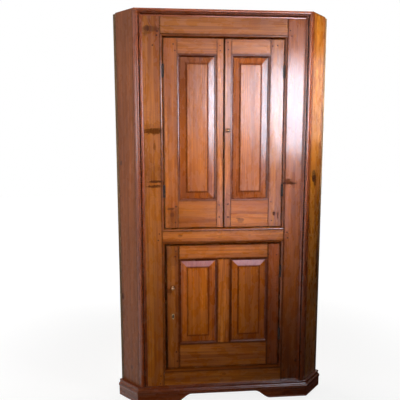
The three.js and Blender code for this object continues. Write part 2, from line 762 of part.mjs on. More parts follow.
const meetingStileMiddle = upperBox.inner + upperDoor.meetingStile / 2;
const catchHigh = middleBoardHigh + upperBayStep * turnCatch.bayStepShare;
const lockX = lowerBox.left + lock.fromDoorEdge;
const lockRight = lowerBox.left + lowerDoor.stile + doorRim.width - door.groove - lock.woodBeside;
const lockHigh = lowerBox.low + lock.aboveDoorFoot;
const lockFront = doorFront + lock.frontWood;
const lockBoltFront = lockFront + lockBolt.behindCaseFront;

// Where the lock's bolt slides, from one x to another.
const lockBoltRoom = (from, to, gap) =>
  block(
    from,
    to,
    lockBoltFront - gap,
    lockBoltFront + lockBolt.thickness + gap,
    lockHigh - lockBolt.height / 2 - gap,
    lockHigh + lockBolt.height / 2 + gap,
  );

const keyholeTool = (front, back) =>
  fromFront(
    keyholeOutline(lockX, lockHigh, keyhole.radius, keyhole.slotWidth / 2, keyhole.length),
    front,
    back,
  );

function carcass() {
  const strike = lockBoltRoom(-openingHalf - lockBolt.travel, -openingHalf + overrun, runGap);
  for (const side of sides) {
    const own = side.side < 0 ? [strike] : lowerHousings;
    frameStile(side, [...upperHousings(side.side), ...own]);
    returnBoard(side);
    backboards(side);
    sideMoulding(side);
    plinthReturn(side);
  }
  for (const rail of frameRails) frameRail(rail);
  topMoulding();
  plinthFront();
  const behindFrame = caseThickness + seatGap;
  insideBoard("top_board", behindFrame, topBoardHigh);
  insideBoard("middle_board", behindFrame, middleBoardHigh);
  insideBoard("floor_board", behindFrame, floorBoardHigh);
  const behindDoors = doorBack + doorStopGap;
  for (let i = 1; i < upperBays; i += 1)
    insideBoard("upper_shelf_" + i, behindDoors, middleBoardHigh + i * upperBayStep);
  for (let i = 1; i < lowerBays; i += 1)
    insideBoard("lower_shelf_" + i, behindDoors, floorBoardHigh + i * lowerBayStep);
}

// The left upper door's bolt slides up its meeting stile, in a slot with lips, to lie behind the top rail.
// Its length is a share of the room between the highest shelf, which stops the door, and the door's top.
const slideBoltFront = caseThickness + runGap;
const slideBoltHigh = upperBox.high - seatGap;
const highestShelf = topBoardHigh - upperBayStep;
const slideBoltLow = slideBoltHigh - (slideBoltHigh - highestShelf) * slideBolt.aboveShelfShare;

// A tee in plan: the bolt itself, or the room round it when `gap` is given.
function slideTee(back, low, high, gap) {
  const x = -meetingStileMiddle;
  const head = slideBolt.headWidth / 2 + gap;
  const stem = slideBolt.stemWidth / 2 + gap;
  const front = slideBoltFront - gap;
  const shoulder = slideBoltFront + slideBolt.headThickness + gap;
  return joined(
    block(x - head, x + head, front, shoulder, low, high),
    block(x - stem, x + stem, front, back, low, high),
  );
}

// The finger button: a shank that stands in the stem and a wider head just behind the door.
function buttonProfile() {
  const shank = slideBolt.stemWidth / 2 - seatGap;
  const headFront = doorBack + seatGap;
  const back = doorBack + slideButton.length;
  return [[0, slideBoltFront], [shank, slideBoltFront], [shank, headFront], [slideButton.radius, headFront],
    [slideButton.radius, back], [0, back]];
}

function slidingBolt() {
  const buttonHigh = slideBoltLow + slideButton.aboveBoltFoot;
  const tee = slideTee(doorBack, slideBoltLow, slideBoltHigh, 0);
  const button = turned(buttonProfile(), -meetingStileMiddle, buttonHigh);
  addPiece("upper_left_door_bolt", joined(tee, button), finishes.iron);
}

function upperLeftDoor() {
  const box = { left: -upperBox.outer, right: -upperBox.inner, low: upperBox.low, high: upperBox.high };
  const members = {
    leftStile: upperDoor.hingeStile,
    rightStile: upperDoor.meetingStile,
    bottomRail: upperDoor.bottomRail,
    stileNames: { left: "hinge_stile", right: "meeting_stile" },
  };
  const slot = slideTee(doorBack + overrun, slideBoltLow - seatGap, upperBox.high + overrun, seatGap);
  framedDoor("upper_left_door", box, members, { left: upperHousings(-1), right: [slot] });
  addHinges("upper_left_door", -1, -upperPinX, upperHingeHeights);
  slidingBolt();
}

function upperRightDoor() {
  const box = { left: upperBox.inner, right: upperBox.outer, low: upperBox.low, high: upperBox.high };
  const members = {
    leftStile: upperDoor.meetingStile,
    rightStile: upperDoor.hingeStile,
    bottomRail: upperDoor.bottomRail,
    stileNames: { left: "meeting_stile", right: "hinge_stile" },
  };
  const x = meetingStileMiddle;
  const spindleHole = rod(turnCatch.spindleRadius + seatGap, x, catchHigh, -overrun, doorBack + overrun);
  framedDoor("upper_right_door", box, members, { left: [spindleHole], right: upperHousings(1) });
  addHinges("upper_right_door", 1, upperPinX, upperHingeHeights);
  const tongueFront = doorBack + seatGap;
  const tongueBack = tongueFront + turnCatch.thickness;
  const tongue = roundEndedBar(x, catchHigh, turnCatch.width, turnCatch.length, tongueFront, tongueBack);
  const knobAndSpindle = knobOnShank(x, catchHigh, turnCatch.spindleRadius, tongueBack + seatGap);
  addPiece("upper_turn_catch", joined(knobAndSpindle, tongue), finishes.brass);
}

// The lock's case, or the pocket for it when `gap` is given.
function lockShell(front, back, gap) {
  const low = lockHigh - lock.height / 2 - gap;
  const high = lockHigh + lock.height / 2 + gap;
  return block(lowerBox.left - gap, lockRight + gap, front - gap, back, low, high);
}

// The plate round the keyhole, or its seat when `gap` is given.
function escutcheonPlate(front, gap) {
  const { radius, tailRadius, length, thickness, proud } = escutcheon;
  const outline = keyholeOutline(lockX, lockHigh, radius + gap, tailRadius + gap, length + gap + gap);
  return fromFront(outline, front, doorFront - proud + thickness + gap);
}

function lowerLock() {
  const left = lowerBox.left;
  const right = left + lockBolt.length;
  const room = lockBoltRoom(left - overrun, right + seatGap, seatGap);
  const shell = lockShell(lockFront + seatGap, doorBack, 0);
  addPiece("lock_case", cut(shell, room, keyholeTool(-overrun, lockBoltFront)), finishes.iron);
  addPiece("lock_bolt", lockBoltRoom(left, right, 0), finishes.brass);
  const plate = escutcheonPlate(doorFront - escutcheon.proud, 0);
  addPiece("lock_escutcheon", cut(plate, keyholeTool(-overrun, lockFront)), finishes.brass);
}

function lowerDoorPieces() {
  const members = {
    leftStile: lowerDoor.stile,
    rightStile: lowerDoor.stile,
    bottomRail: lowerDoor.bottomRail,
    muntin: lowerDoor.muntin,
    stileNames: { left: "lock_stile", right: "hinge_stile" },
  };
  const pocket = lockShell(lockFront + seatGap, doorBack + overrun, seatGap);
  const keyway = keyholeTool(-overrun, lockFront + overrun);
  const knobHigh = lowerBox.low + pullKnob.aboveDoorFoot;
  const shankEnd = doorFront + pullKnob.shankLength;
  const shankHole = rod(pullKnob.shankRadius + seatGap, lockX, knobHigh, -overrun, shankEnd + seatGap);
  const lockCuts = [pocket, escutcheonPlate(-overrun, seatGap), keyway, shankHole];
  framedDoor("lower_door", lowerBox, members, { left: lockCuts, right: lowerHousings });
  addHinges("lower_door", 1, lowerPinX, lowerHingeHeights);
  addPiece("lower_pull_knob", knobOnShank(lockX, knobHigh, pullKnob.shankRadius, shankEnd), finishes.brass);
  lowerLock();
}

carcass();
upperLeftDoor();
upperRightDoor();
lowerDoorPieces();

export default cupboard;
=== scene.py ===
"""An old polished pine corner cupboard: its boards, fixings and ironwork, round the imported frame.

Metres, in the frame's own place. The face frame's front is the plane y = FRONT, x = 0 is its middle
and the floor is z = 0.
"""

import json
import math

import bmesh
import bpy
from mathutils import Matrix, Vector, noise


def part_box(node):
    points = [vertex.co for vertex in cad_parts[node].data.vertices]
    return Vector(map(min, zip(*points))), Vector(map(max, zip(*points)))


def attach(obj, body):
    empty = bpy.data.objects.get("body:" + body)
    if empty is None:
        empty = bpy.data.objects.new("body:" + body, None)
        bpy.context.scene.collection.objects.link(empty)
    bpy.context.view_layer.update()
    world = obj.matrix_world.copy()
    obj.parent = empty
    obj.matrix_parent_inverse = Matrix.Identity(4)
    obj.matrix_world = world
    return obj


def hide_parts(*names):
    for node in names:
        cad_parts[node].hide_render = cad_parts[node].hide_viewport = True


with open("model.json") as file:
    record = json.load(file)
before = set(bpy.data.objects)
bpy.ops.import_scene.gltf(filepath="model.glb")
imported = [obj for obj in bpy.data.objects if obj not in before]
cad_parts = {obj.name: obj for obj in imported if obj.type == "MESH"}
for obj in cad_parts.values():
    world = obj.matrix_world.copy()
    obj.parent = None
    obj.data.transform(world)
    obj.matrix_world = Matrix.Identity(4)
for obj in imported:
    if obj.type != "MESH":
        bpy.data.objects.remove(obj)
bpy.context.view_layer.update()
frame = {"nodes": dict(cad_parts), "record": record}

MM = 0.001
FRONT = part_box("middle_rail")[0].y
DOOR_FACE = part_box("lower_door_muntin")[0].y
SLANT = math.radians(45)
DOORS = ("upper_left_door", "upper_right_door", "lower_door")
SEAT_GAP = 0.3 * MM  # between pieces that are fixed together


def srgb(red, green, blue):
    """A colour as a screen shows it, 0 to 255, as Blender's linear values."""

    def linear(value):
        share = value / 255
        return share / 12.92 if share <= 0.04045 else ((share + 0.055) / 1.055) ** 2.4

    return (linear(red), linear(green), linear(blue), 1.0)


# Small helpers for material nodes.


def node(tree, kind, values=None, **settings):
    made = tree.nodes.new("ShaderNode" + kind)
    for name, value in settings.items():
        setattr(made, name, value)
    for name, value in (values or {}).items():
        if isinstance(value, bpy.types.NodeSocket):
            tree.links.new(value, made.inputs[name])
        else:
            made.inputs[name].default_value = value
    return made


def sum_of(tree, operation, first, second=None, third=None):
    values = {i: v for i, v in enumerate((first, second, third)) if v is not None}
    return node(tree, "Math", values, operation=operation).outputs[0]


def vector_of(tree, operation, first, second=None):
    values = {0: first} if second is None else {0: first, 1: second}
    made = node(tree, "VectorMath", values, operation=operation)
    return made.outputs["Value" if operation == "LENGTH" else "Vector"]


def ranged(tree, value, start, end, low=0.0, high=1.0, kind="SMOOTHSTEP"):
    values = {0: value, 1: start, 2: end, 3: low, 4: high}
    return node(tree, "MapRange", values, interpolation_type=kind).outputs[0]


def mixed(tree, share, first, second, kind="MIX"):
    made = node(tree, "Mix", {0: share, 6: first, 7: second}, data_type="RGBA", blend_type=kind)
    return made.outputs[2]


def grey_of(tree, value):
    """A grey of one value, as a colour."""
    return node(tree, "CombineXYZ", {0: value, 1: value, 2: value}).outputs[0]


GRAINS = {
    # what it draws: cycles for each metre along the three axes, octaves, roughness
    "drift": ((5, 5, 1.6), 1, 0.5),
    "streak": ((48, 48, 1.3), 4, 0.62),
    "thread": ((150, 150, 2.4), 4, 0.65),
    "fibre": ((620, 620, 9), 2, 0.6),
    "mottle": ((7, 7, 2.2), 3, 0.55),
    "cloud": ((2.2, 2.2, 1.1), 2, 0.5),
    "swell": ((26, 26, 9), 2, 0.5),
    "wear": ((30, 30, 12), 3, 0.6),
    "ragged_edge": ((90, 90, 60), 3, 0.5),
    "ragged_blot": ((70, 70, 160), 4, 0.7),
    "end_grain": ((900, 900, 900), 3, 0.6),
    "tarnish": ((130, 130, 130), 4, 0.65),
    "pits": ((420, 420, 420), 4, 0.7),
    "rust": ((90, 90, 90), 4, 0.6),
}


def grains(tree, place, what):
    """Noise at a place, as GRAINS describes it."""
    scale, detail, roughness = GRAINS[what]
    stretched = vector_of(tree, "MULTIPLY", place, scale)
    values = {"Vector": stretched, "Scale": 1.0, "Detail": detail, "Roughness": roughness}
    return node(tree, "TexNoise", values).outputs[0]


def new_material(name):
    material = bpy.data.materials.new(name)
    material.use_nodes = True
    tree = material.node_tree
    tree.nodes.clear()
    return material, tree


def finished(tree, values):
    shader = node(tree, "BsdfPrincipled", values)
    tree.links.new(shader.outputs[0], node(tree, "OutputMaterial").inputs[0])


# Pine. A board's own axes are: across its face, into its thickness, and along its grain.

UPRIGHT = Matrix(((1, 0, 0), (0, 1, 0), (0, 0, 1)))
LEVEL = Matrix(((0, 0, 1), (0, 1, 0), (-1, 0, 0)))
SHELF = Matrix(((0, 1, 0), (0, 0, 1), (1, 0, 0)))
SOILED_AND_SHADED_DEPTH = (11.3 * MM, 12.6 * MM)  # how far behind its face a board's tint, soiling and painted shade end
RIM_START = (0.5 * MM, 3 * MM)  # how far past its face a board's moulded rim begins


def upright_on(angle):
    """Axes of an upright board whose face is turned about the vertical."""
    return Matrix.Rotation(-angle, 3, "Z")


def level_on(angle):
    """Axes of a level board whose face is turned about the vertical."""
    return LEVEL @ upright_on(angle)


def knot_flow(tree, place, knots):
    """Bends the grain round each knot. Returns the new place, and how much of a knot is there."""
    dark = None
    for across, along, radius, stretch, strength in knots:
        away = vector_of(tree, "SUBTRACT", place, (across, 0, along))
        flat = vector_of(tree, "MULTIPLY", away, (1 / radius, 0, 1 / (radius * stretch)))
        apart = vector_of(tree, "LENGTH", flat)
        square = sum_of(tree, "MAXIMUM", sum_of(tree, "MULTIPLY", apart, apart), 1.0)
        bend = sum_of(tree, "DIVIDE", -0.9, square)
        pushed = vector_of(tree, "MULTIPLY", away, (1, 0, 0))
        scaled = node(tree, "VectorMath", {0: pushed, "Scale": bend}, operation="SCALE").outputs[0]
        place = vector_of(tree, "ADD", place, scaled)
        inside = ranged(tree, apart, 1.15, 0.75)
        ripple = sum_of(tree, "SINE", sum_of(tree, "MULTIPLY", apart, 17.0))
        rings = sum_of(tree, "MULTIPLY_ADD", ripple, 0.3 * strength, 0.7 * strength)
        own = sum_of(tree, "MULTIPLY", inside, rings)
        dark = own if dark is None else sum_of(tree, "MAXIMUM", dark, own)
    return place, dark


def face_reach(node_name, axes):
    """The middle and half size of a board's foremost face, in its own axes."""
    points = [axes @ vertex.co for vertex in frame["nodes"][node_name].data.vertices]
    foremost = min(point.y for point in points)
    face = [point for point in points if point.y < foremost + 0.1 * MM]
    across = sorted(point.x for point in face)
    along = sorted(point.z for point in face)
    middle = ((across[0] + across[-1]) / 2, foremost, (along[0] + along[-1]) / 2)
    return middle, (across[-1] - across[0]) / 2, (along[-1] - along[0]) / 2


def beyond_face(tree, place, reach):
    """How far a point lies past the sides and past the ends of a board's face, and 1 near that face."""
    middle, wide, long = reach
    away = vector_of(tree, "ABSOLUTE", vector_of(tree, "SUBTRACT", place, middle))
    part = node(tree, "SeparateXYZ", {0: away}).outputs
    near = ranged(tree, part["Y"], *SOILED_AND_SHADED_DEPTH, 1, 0)
    return sum_of(tree, "SUBTRACT", part["X"], wide), sum_of(tree, "SUBTRACT", part["Z"], long), near


def edge_grime_and_shade(tree, past_side, past_end, rough, wide):
    """Dark lines along the edges of a board's face: soiling and old polish, and painted shade in the
    gaps and steps beside them.
    """
    from_edge = sum_of(tree, "ABSOLUTE", sum_of(tree, "MAXIMUM", past_side, past_end))
    return ranged(tree, sum_of(tree, "MULTIPLY_ADD", rough, 6 * MM, from_edge), wide, 0.2 * wide)


def rim_tint(tree, colour, past_side, past_end, rough, tone):
    """Old polish that reddens a board towards its edges, and a darker moulded rim, partly old polish
    and partly painted shade.
    """
    past = sum_of(tree, "MAXIMUM", past_side, past_end)
    inward = sum_of(tree, "MULTIPLY_ADD", rough, 20 * MM, past_side)
    reddened = ranged(tree, inward, -22 * MM, -2 * MM, 0, tone["edge"])
    darkened = ranged(tree, past, *RIM_START, 0, tone["rim"])
    colour = mixed(tree, reddened, colour, tone["patch"])
    return mixed(tree, darkened, colour, tone["rim_colour"])


def bevel_tint(tree, colour, place, past_side, past_end, reach, tone):
    """Darker bevels on a panel, partly old polish and partly painted shade, and a painted sheen on the
    upper bevel of a low one.
    """
    outside = ranged(tree, sum_of(tree, "MAXIMUM", past_side, past_end), 0, 1.5 * MM)
    colour = mixed(tree, outside, colour, mixed(tree, 1.0, colour, tone["bevel"], "MULTIPLY"))
    # a painted sheen on the upper bevel of a low panel
    if "painted_sheen" in tone:
        height = node(tree, "SeparateXYZ", {0: place}).outputs["Z"]
        upper = sum_of(tree, "GREATER_THAN", height, reach[0][2])
        over = sum_of(tree, "MULTIPLY", upper, sum_of(tree, "GREATER_THAN", past_end, past_side))
        share = sum_of(tree, "MULTIPLY", sum_of(tree, "MULTIPLY", over, outside), tone["painted_sheen_share"])
        colour = mixed(tree, share, colour, tone["painted_sheen"])
    return colour


def blots(tree, place, spots):
    """Ragged dark patches: (across, along, half width, half length, strength)."""
    ragged = sum_of(tree, "MULTIPLY_ADD", grains(tree, place, "ragged_blot"), 2.4, -1.2)
    total = None
    for across, along, wide, long, strength in spots:
        away = vector_of(tree, "SUBTRACT", place, (across, 0, along))
        flat = vector_of(tree, "MULTIPLY", away, (1 / wide, 0, 1 / long))
        apart = sum_of(tree, "ADD", vector_of(tree, "LENGTH", flat), ragged)
        own = ranged(tree, apart, 1.35, 0.6, 0.0, strength)
        total = own if total is None else sum_of(tree, "MAXIMUM", total, own)
    return total


def year_rings(tree, bent, own, seed, tone, pith):
    """How late in its year the wood grew at each point of a board, which is cut from its own log."""
    drift = sum_of(tree, "SUBTRACT", grains(tree, own, "drift"), 0.5)
    aside = node(tree, "CombineXYZ", {0: sum_of(tree, "MULTIPLY", drift, tone["wander"])}).outputs[0]
    wavy = vector_of(tree, "ADD", bent, aside)
    lean = math.radians(tone["lean"] * math.sin(seed * 5.1))
    tilt = math.radians(0.3 * math.cos(seed * 3.3))
    in_log = {"Vector": wavy, "Rotation": (lean, tilt, 0), "Location": (*pith, seed)}
    drawn_out = vector_of(tree, "MULTIPLY", node(tree, "Mapping", in_log).outputs[0], (1, 1, 0.1))
    values = {
        "Vector": drawn_out,
        "Scale": tone["rings"],
        "Distortion": 2.2,
        "Detail": 2.0,
        "Detail Scale": 0.1,
        "Detail Roughness": 0.6,
    }
    wave = node(tree, "TexWave", values, wave_type="RINGS", rings_direction="Z", wave_profile="SAW")
    return ranged(tree, wave.outputs["Fac"], 0.35, 0.97)


def figured(tree, own, late, fibre, level, tone):
    """A board's colour before any knot, mark, soiling or painted shade: its rings, streaks, patches and
    threads.
    """
    rings = sum_of(tree, "MULTIPLY", late, tone["ring_share"])
    streaks = ranged(tree, grains(tree, own, "streak"), 0.45, 0.66, 0, 0.65)
    patches = ranged(tree, grains(tree, own, "mottle"), 0.48, 0.7, 0, 0.5)
    threads = ranged(tree, grains(tree, own, "thread"), 0.47, 0.66, 0, tone["thread"])
    colour = mixed(tree, rings, tone["early"], tone["late"])
    colour = mixed(tree, streaks, colour, tone["streak"])
    colour = mixed(tree, patches, colour, tone["patch"])
    colour = mixed(tree, threads, colour, tone["streak"])
    # its level lightens or darkens the whole board: partly its own tone, partly painted light and shade
    cloud = ranged(tree, grains(tree, own, "cloud"), 0.3, 0.7, 0.86 * level, 1.1 * level)
    light = sum_of(tree, "MULTIPLY", sum_of(tree, "MULTIPLY_ADD", fibre, 0.34, 0.83), cloud)
    return mixed(tree, 1.0, colour, grey_of(tree, light), "MULTIPLY")


def soiled_and_shaded_edges(tree, colour, place, reach, tone):
    """Tints a board's face at its edges with soiling, old polish and painted shade.

    Returns the new colour, how much soiling and painted shade there is, and 1 near the face or 0 behind
    it.
    """
    past_side, past_end, near = beyond_face(tree, place, reach)
    rough = sum_of(tree, "MULTIPLY_ADD", grains(tree, place, "ragged_edge"), 1.1, -0.55)
    if "bevel" in tone:
        colour = bevel_tint(tree, colour, place, past_side, past_end, reach, tone)
    else:
        colour = rim_tint(tree, colour, past_side, past_end, rough, tone)
    # dark lines at the face's edges: soiling, and painted shade in the gaps and steps
    lines = edge_grime_and_shade(tree, past_side, past_end, rough, tone["grime_and_shade_wide"])
    dirt_and_shade = sum_of(tree, "MULTIPLY", lines, tone["grime_and_shade"])
    colour = mixed(tree, dirt_and_shade, colour, tone["dirt_and_shade"])
    if "rim_dull" in tone:
        past = sum_of(tree, "MAXIMUM", past_side, past_end)
        dull = ranged(tree, past, *RIM_START, 0, tone["rim_dull"])
        dirt_and_shade = sum_of(tree, "MAXIMUM", dirt_and_shade, dull)
    return colour, dirt_and_shade, near


def worn_polish(tree, own, late, fibre, tone):
    """The shader's values for an old polish over the wood's rings, fibres and hand-planed swells."""
    relief = sum_of(tree, "MULTIPLY", late, tone["relief"])
    relief = sum_of(tree, "MULTIPLY_ADD", fibre, 0.35, relief)
    swell = grains(tree, own, "swell")
    hand = node(tree, "Bump", {"Strength": 0.5, "Distance": tone["swell"], "Height": swell}).outputs[0]
    bump = {"Strength": 0.5, "Distance": 0.25 * MM, "Height": relief, "Normal": hand}
    wear = grains(tree, own, "wear")
    return {
        "Roughness": ranged(tree, wear, 0.3, 0.75, *tone["gloss"], "LINEAR"),
        "Specular IOR Level": tone["shine"],
        "Coat Weight": tone["coat"],
        "Coat Roughness": tone["coat_roughness"],
        "Normal": node(tree, "Bump", bump).outputs[0],
        "Coat Normal": hand,
    }


def pine(name, tone, axes, seed, level=1.0, knots=(), spots=(), pith=(0.02, 0.05), reach=None):
    """One board's pine. `tone` is one of the dictionaries below, and `reach` comes from face_reach."""
    material, tree = new_material(name)
    where = node(tree, "TexCoord").outputs["Object"]
    flat = node(tree, "Mapping", {"Vector": where, "Rotation": axes.to_euler()}).outputs[0]
    bent, knot = knot_flow(tree, flat, knots)
    own = vector_of(tree, "ADD", bent, (seed * 1.37, seed * 0.71, seed * 2.13))
    late = year_rings(tree, bent, own, seed, tone, pith)
    fibre = grains(tree, own, "fibre")
    plain = figured(tree, own, late, fibre, level, tone)
    if knot is not None:
        plain = mixed(tree, knot, plain, tone["knot"])

    # edge lines, rims and bevels carry soiling and painted shade, a low panel's upper bevel a painted
    # sheen, and some spots painted shade
    colour, dirt_and_shade, near = plain, None, None
    if reach:
        colour, dirt_and_shade, near = soiled_and_shaded_edges(tree, plain, flat, reach, tone)
    if spots:
        dark = blots(tree, flat, spots)
        colour = mixed(tree, dark, colour, tone["blot"])
        dirt_and_shade = dark if dirt_and_shade is None else sum_of(tree, "MAXIMUM", dirt_and_shade, dark)
    if near is not None:
        colour = mixed(tree, near, plain, colour)
        dirt_and_shade = sum_of(tree, "MULTIPLY", near, dirt_and_shade)

    values = worn_polish(tree, own, late, fibre, tone)
    values["Base Color"] = colour
    if dirt_and_shade is not None:
        # reflections weaken under the dark marks, soiling and painted shade alike
        unmarked = ranged(tree, dirt_and_shade, 0.1, 0.8, 1, 0)
        values["Specular Tint"] = grey_of(tree, unmarked)
        if tone["coat"]:
            values["Coat Weight"] = sum_of(tree, "MULTIPLY", unmarked, tone["coat"])
    finished(tree, values)
    return material


def wood(*colours):
    """Up to four of a tone's colours: early growth, late growth, streaks and patches."""
    return {name: srgb(*colour) for name, colour in zip(("early", "late", "streak", "patch"), colours)}


POLISHED = {
    **wood((186, 108, 28), (116, 52, 11), (120, 54, 13), (138, 66, 18)),
    "knot": srgb(64, 26, 12),
    # dark colours of spots and edge lines: marks and soiling, and painted shade
    "blot": srgb(58, 25, 16),
    "dirt_and_shade": srgb(56, 20, 8),
    "edge": 0.55,
    # a darker moulded rim: old polish and painted shade
    "rim": 0.35,
    "rim_colour": srgb(88, 34, 20),
    "ring_share": 0.55,
    "rings": 92,
    "thread": 0.7,
    "wander": 8 * MM,
    "lean": 0.5,
    "relief": 0.5,
    "swell": 2.2 * MM,
    "gloss": (0.2, 0.38),
    "shine": 0.32,
    "coat": 0.7,
    "coat_roughness": 0.15,
    # how strong and how wide the dark edge lines are: soiling and painted shade
    "grime_and_shade": 0.7,
    "grime_and_shade_wide": 5.5 * MM,
}
TOP_RAIL = {**POLISHED, "coat": 0.4}
LOW_RAIL = {**POLISHED, "rim_dull": 0.8}
REDDISH = {**POLISHED, **wood((178, 94, 28), (108, 46, 12), (112, 47, 14))}
# a door's moulded rim is darker still: old polish and painted shade
DOOR = {**POLISHED, "early": srgb(188, 108, 32), "late": srgb(118, 53, 14), "rim": 0.75, "grime_and_shade": 0.5}
BRIGHT_DOOR = {**DOOR, "coat": 1.0}
# wider dark edge lines on the lower door: soiling, and painted shade along its gaps
LOW_DOOR = {**DOOR, "rim_dull": 0.5, "grime_and_shade": 0.75, "grime_and_shade_wide": 7.5 * MM}
RED_DOOR = {**LOW_DOOR, **wood((172, 86, 28), (106, 42, 13), (108, 44, 14))}
WAVY = {**DOOR, "wander": 20 * MM, "ring_share": 0.6, "lean": 2.5}
# darker and wider edge lines along the lower door's top: soiling, and painted shade in the gap above it
LOW_TOP = {**WAVY, "grime_and_shade": 0.8, "grime_and_shade_wide": 8 * MM}
CLEAR = {**WAVY, "coat": 0.35, "shine": 0.25}
PANEL = {
    **POLISHED,
    **wood((190, 104, 20), (130, 58, 9), (132, 60, 11)),
    "thread": 0.5,
    # darker bevels and field edges: old polish and soiling, and painted shade
    "bevel": (0.78, 0.68, 0.6, 1.0),
    "dirt_and_shade": srgb(86, 30, 9),
    "grime_and_shade_wide": 8 * MM,
}
LOW_PANEL = {
    **PANEL,
    # bevels darkened less, and a painted sheen on the upper bevel
    "bevel": (0.92, 0.84, 0.76, 1.0),
    "painted_sheen": srgb(174, 126, 142),
    "painted_sheen_share": 0.52,
}
MOULDING = {**POLISHED, **wood((156, 76, 32), (104, 44, 16), (108, 46, 18))}
LEFT_MOULDING = {**MOULDING, "early": srgb(166, 80, 34), "late": srgb(110, 46, 18), "coat": 0.4}
PLINTH = {**MOULDING, "coat": 0.4, "shine": 0.25}
RETURN = {**POLISHED, **wood((190, 118, 32), (140, 74, 15), (146, 74, 18))}
DULL_RETURN = {
    **POLISHED,
    **wood((170, 94, 46), (116, 59, 30), (122, 60, 22), (136, 72, 30)),
    "coat": 0.1,
    "shine": 0.2,
    "grime_and_shade": 0.3,
}
INSIDE = {
    **POLISHED,
    **wood((168, 120, 78), (126, 80, 46), (136, 90, 54), (142, 98, 62)),
    "relief": 0.8,
    "gloss": (0.6, 0.78),
    "shine": 0.15,
    "coat": 0.0,
}
BACK = {
    **INSIDE,
    **wood((150, 118, 84), (112, 82, 56), (118, 90, 64), (96, 76, 58)),
    "relief": 1.0,
    "swell": 3 * MM,
    "gloss": (0.75, 0.9),
    "shine": 0.2,
}


# Metals.

OLD_METAL = 0.85  # how metallic its surface is
DIRTY_METAL = 0.2
KEYHOLE_DIRT_AND_SHADE = (4.8 * MM, 10 * MM)  # half its width and half its height


def brass(name, bright, tarnished, gloss, keyhole=None):
    """Old brass, black round the keyhole if there is one, with soiling and painted shade."""
    material, tree = new_material(name)
    where = node(tree, "TexCoord").outputs["Object"]
    tarnish = grains(tree, where, "tarnish")
    handled = ranged(tree, tarnish, 0.42, 0.68)
    colour = mixed(tree, handled, bright, tarnished)
    scratch = node(tree, "Bump", {"Strength": 0.3, "Distance": 0.2 * MM, "Height": tarnish}).outputs[0]
    metallic = OLD_METAL
    # soiling and painted shade round the keyhole: near black, and less metallic
    if keyhole:
        away = vector_of(tree, "SUBTRACT", where, keyhole)
        flat = vector_of(tree, "MULTIPLY", away, (1 / KEYHOLE_DIRT_AND_SHADE[0], 0, 1 / KEYHOLE_DIRT_AND_SHADE[1]))
        dirt_and_shade = ranged(tree, vector_of(tree, "LENGTH", flat), 1.2, 0.85)
        colour = mixed(tree, dirt_and_shade, colour, srgb(24, 18, 12))
        metallic = ranged(tree, dirt_and_shade, 0, 1, OLD_METAL, DIRTY_METAL)
    values = {
        "Base Color": colour,
        "Metallic": metallic,
        "Roughness": ranged(tree, tarnish, 0.35, 0.7, *gloss, "LINEAR"),
        "Normal": scratch,
    }
    finished(tree, values)
    return material


def iron(name):
    material, tree = new_material(name)
    where = node(tree, "TexCoord").outputs["Object"]
    pits = grains(tree, where, "pits")
    rust = ranged(tree, grains(tree, where, "rust"), 0.52, 0.7)
    colour = mixed(tree, rust, srgb(54, 47, 43), srgb(92, 52, 32))
    bump = node(tree, "Bump", {"Strength": 0.6, "Distance": 0.4 * MM, "Height": pits}).outputs[0]
    values = {
        "Base Color": colour,
        "Metallic": ranged(tree, rust, 0, 1, OLD_METAL, DIRTY_METAL),
        "Roughness": ranged(tree, pits, 0.3, 0.7, 0.42, 0.68, "LINEAR"),
        "Normal": bump,
    }
    finished(tree, values)
    return material


# Boards. Each stands for its CAD node: the same solid, with its arrises worn round and a little uneven.

HANDLED_ROUND = 2 * MM
NARROW_FACE = 5 * MM
SHORT_EDGE = 7 * MM  # no shorter edge is worn round
LONG_EDGE = 90 * MM  # every longer one is uneven
WANDER_STEP = 60 * MM
WANDER_CYCLES = 9  # for each metre
WANDER_SEED = 3  # without a seed the noise differs from run to run
ARRIS = math.radians(32)  # an edge this sharp is worn round
CREASE = math.radians(38)  # and one this sharp still shows as a line
NEAR = 1 * MM

noise.seed_set(WANDER_SEED)


def waver(point, amount, seed):
    """A hand-worked edge's small wander at a point."""
    place = Vector(point) * WANDER_CYCLES + Vector((seed, seed * 1.7, -seed))
    return noise.noise_vector(place) * amount


def crisp(shape, sharp):
    """Shades narrow strips smooth and broad faces flat, with a hard line where they turn sharply."""
    for face in shape.faces:
        width = 2 * face.calc_area() / max(face.calc_perimeter(), 1e-9)
        face.smooth = width < NARROW_FACE
    for edge in shape.edges:
        edge.smooth = not (edge.is_manifold and edge.calc_face_angle(0) > sharp)


def round_over(shape, edges, offset, segments):
    bmesh.ops.bevel(
        shape,
        geom=edges,
        offset=offset,
        offset_type="OFFSET",
        affect="EDGES",
        segments=segments,
        profile=0.5,
        material=-1,
        clamp_overlap=False,
    )


def cut_off(shape, place, towards):
    """Keeps what lies beyond a plane, and closes the cut."""
    everything = shape.verts[:] + shape.edges[:] + shape.faces[:]
    bmesh.ops.bisect_plane(shape, geom=everything, plane_co=place, plane_no=towards, clear_inner=True)
    bmesh.ops.holes_fill(shape, edges=[edge for edge in shape.edges if edge.is_boundary])


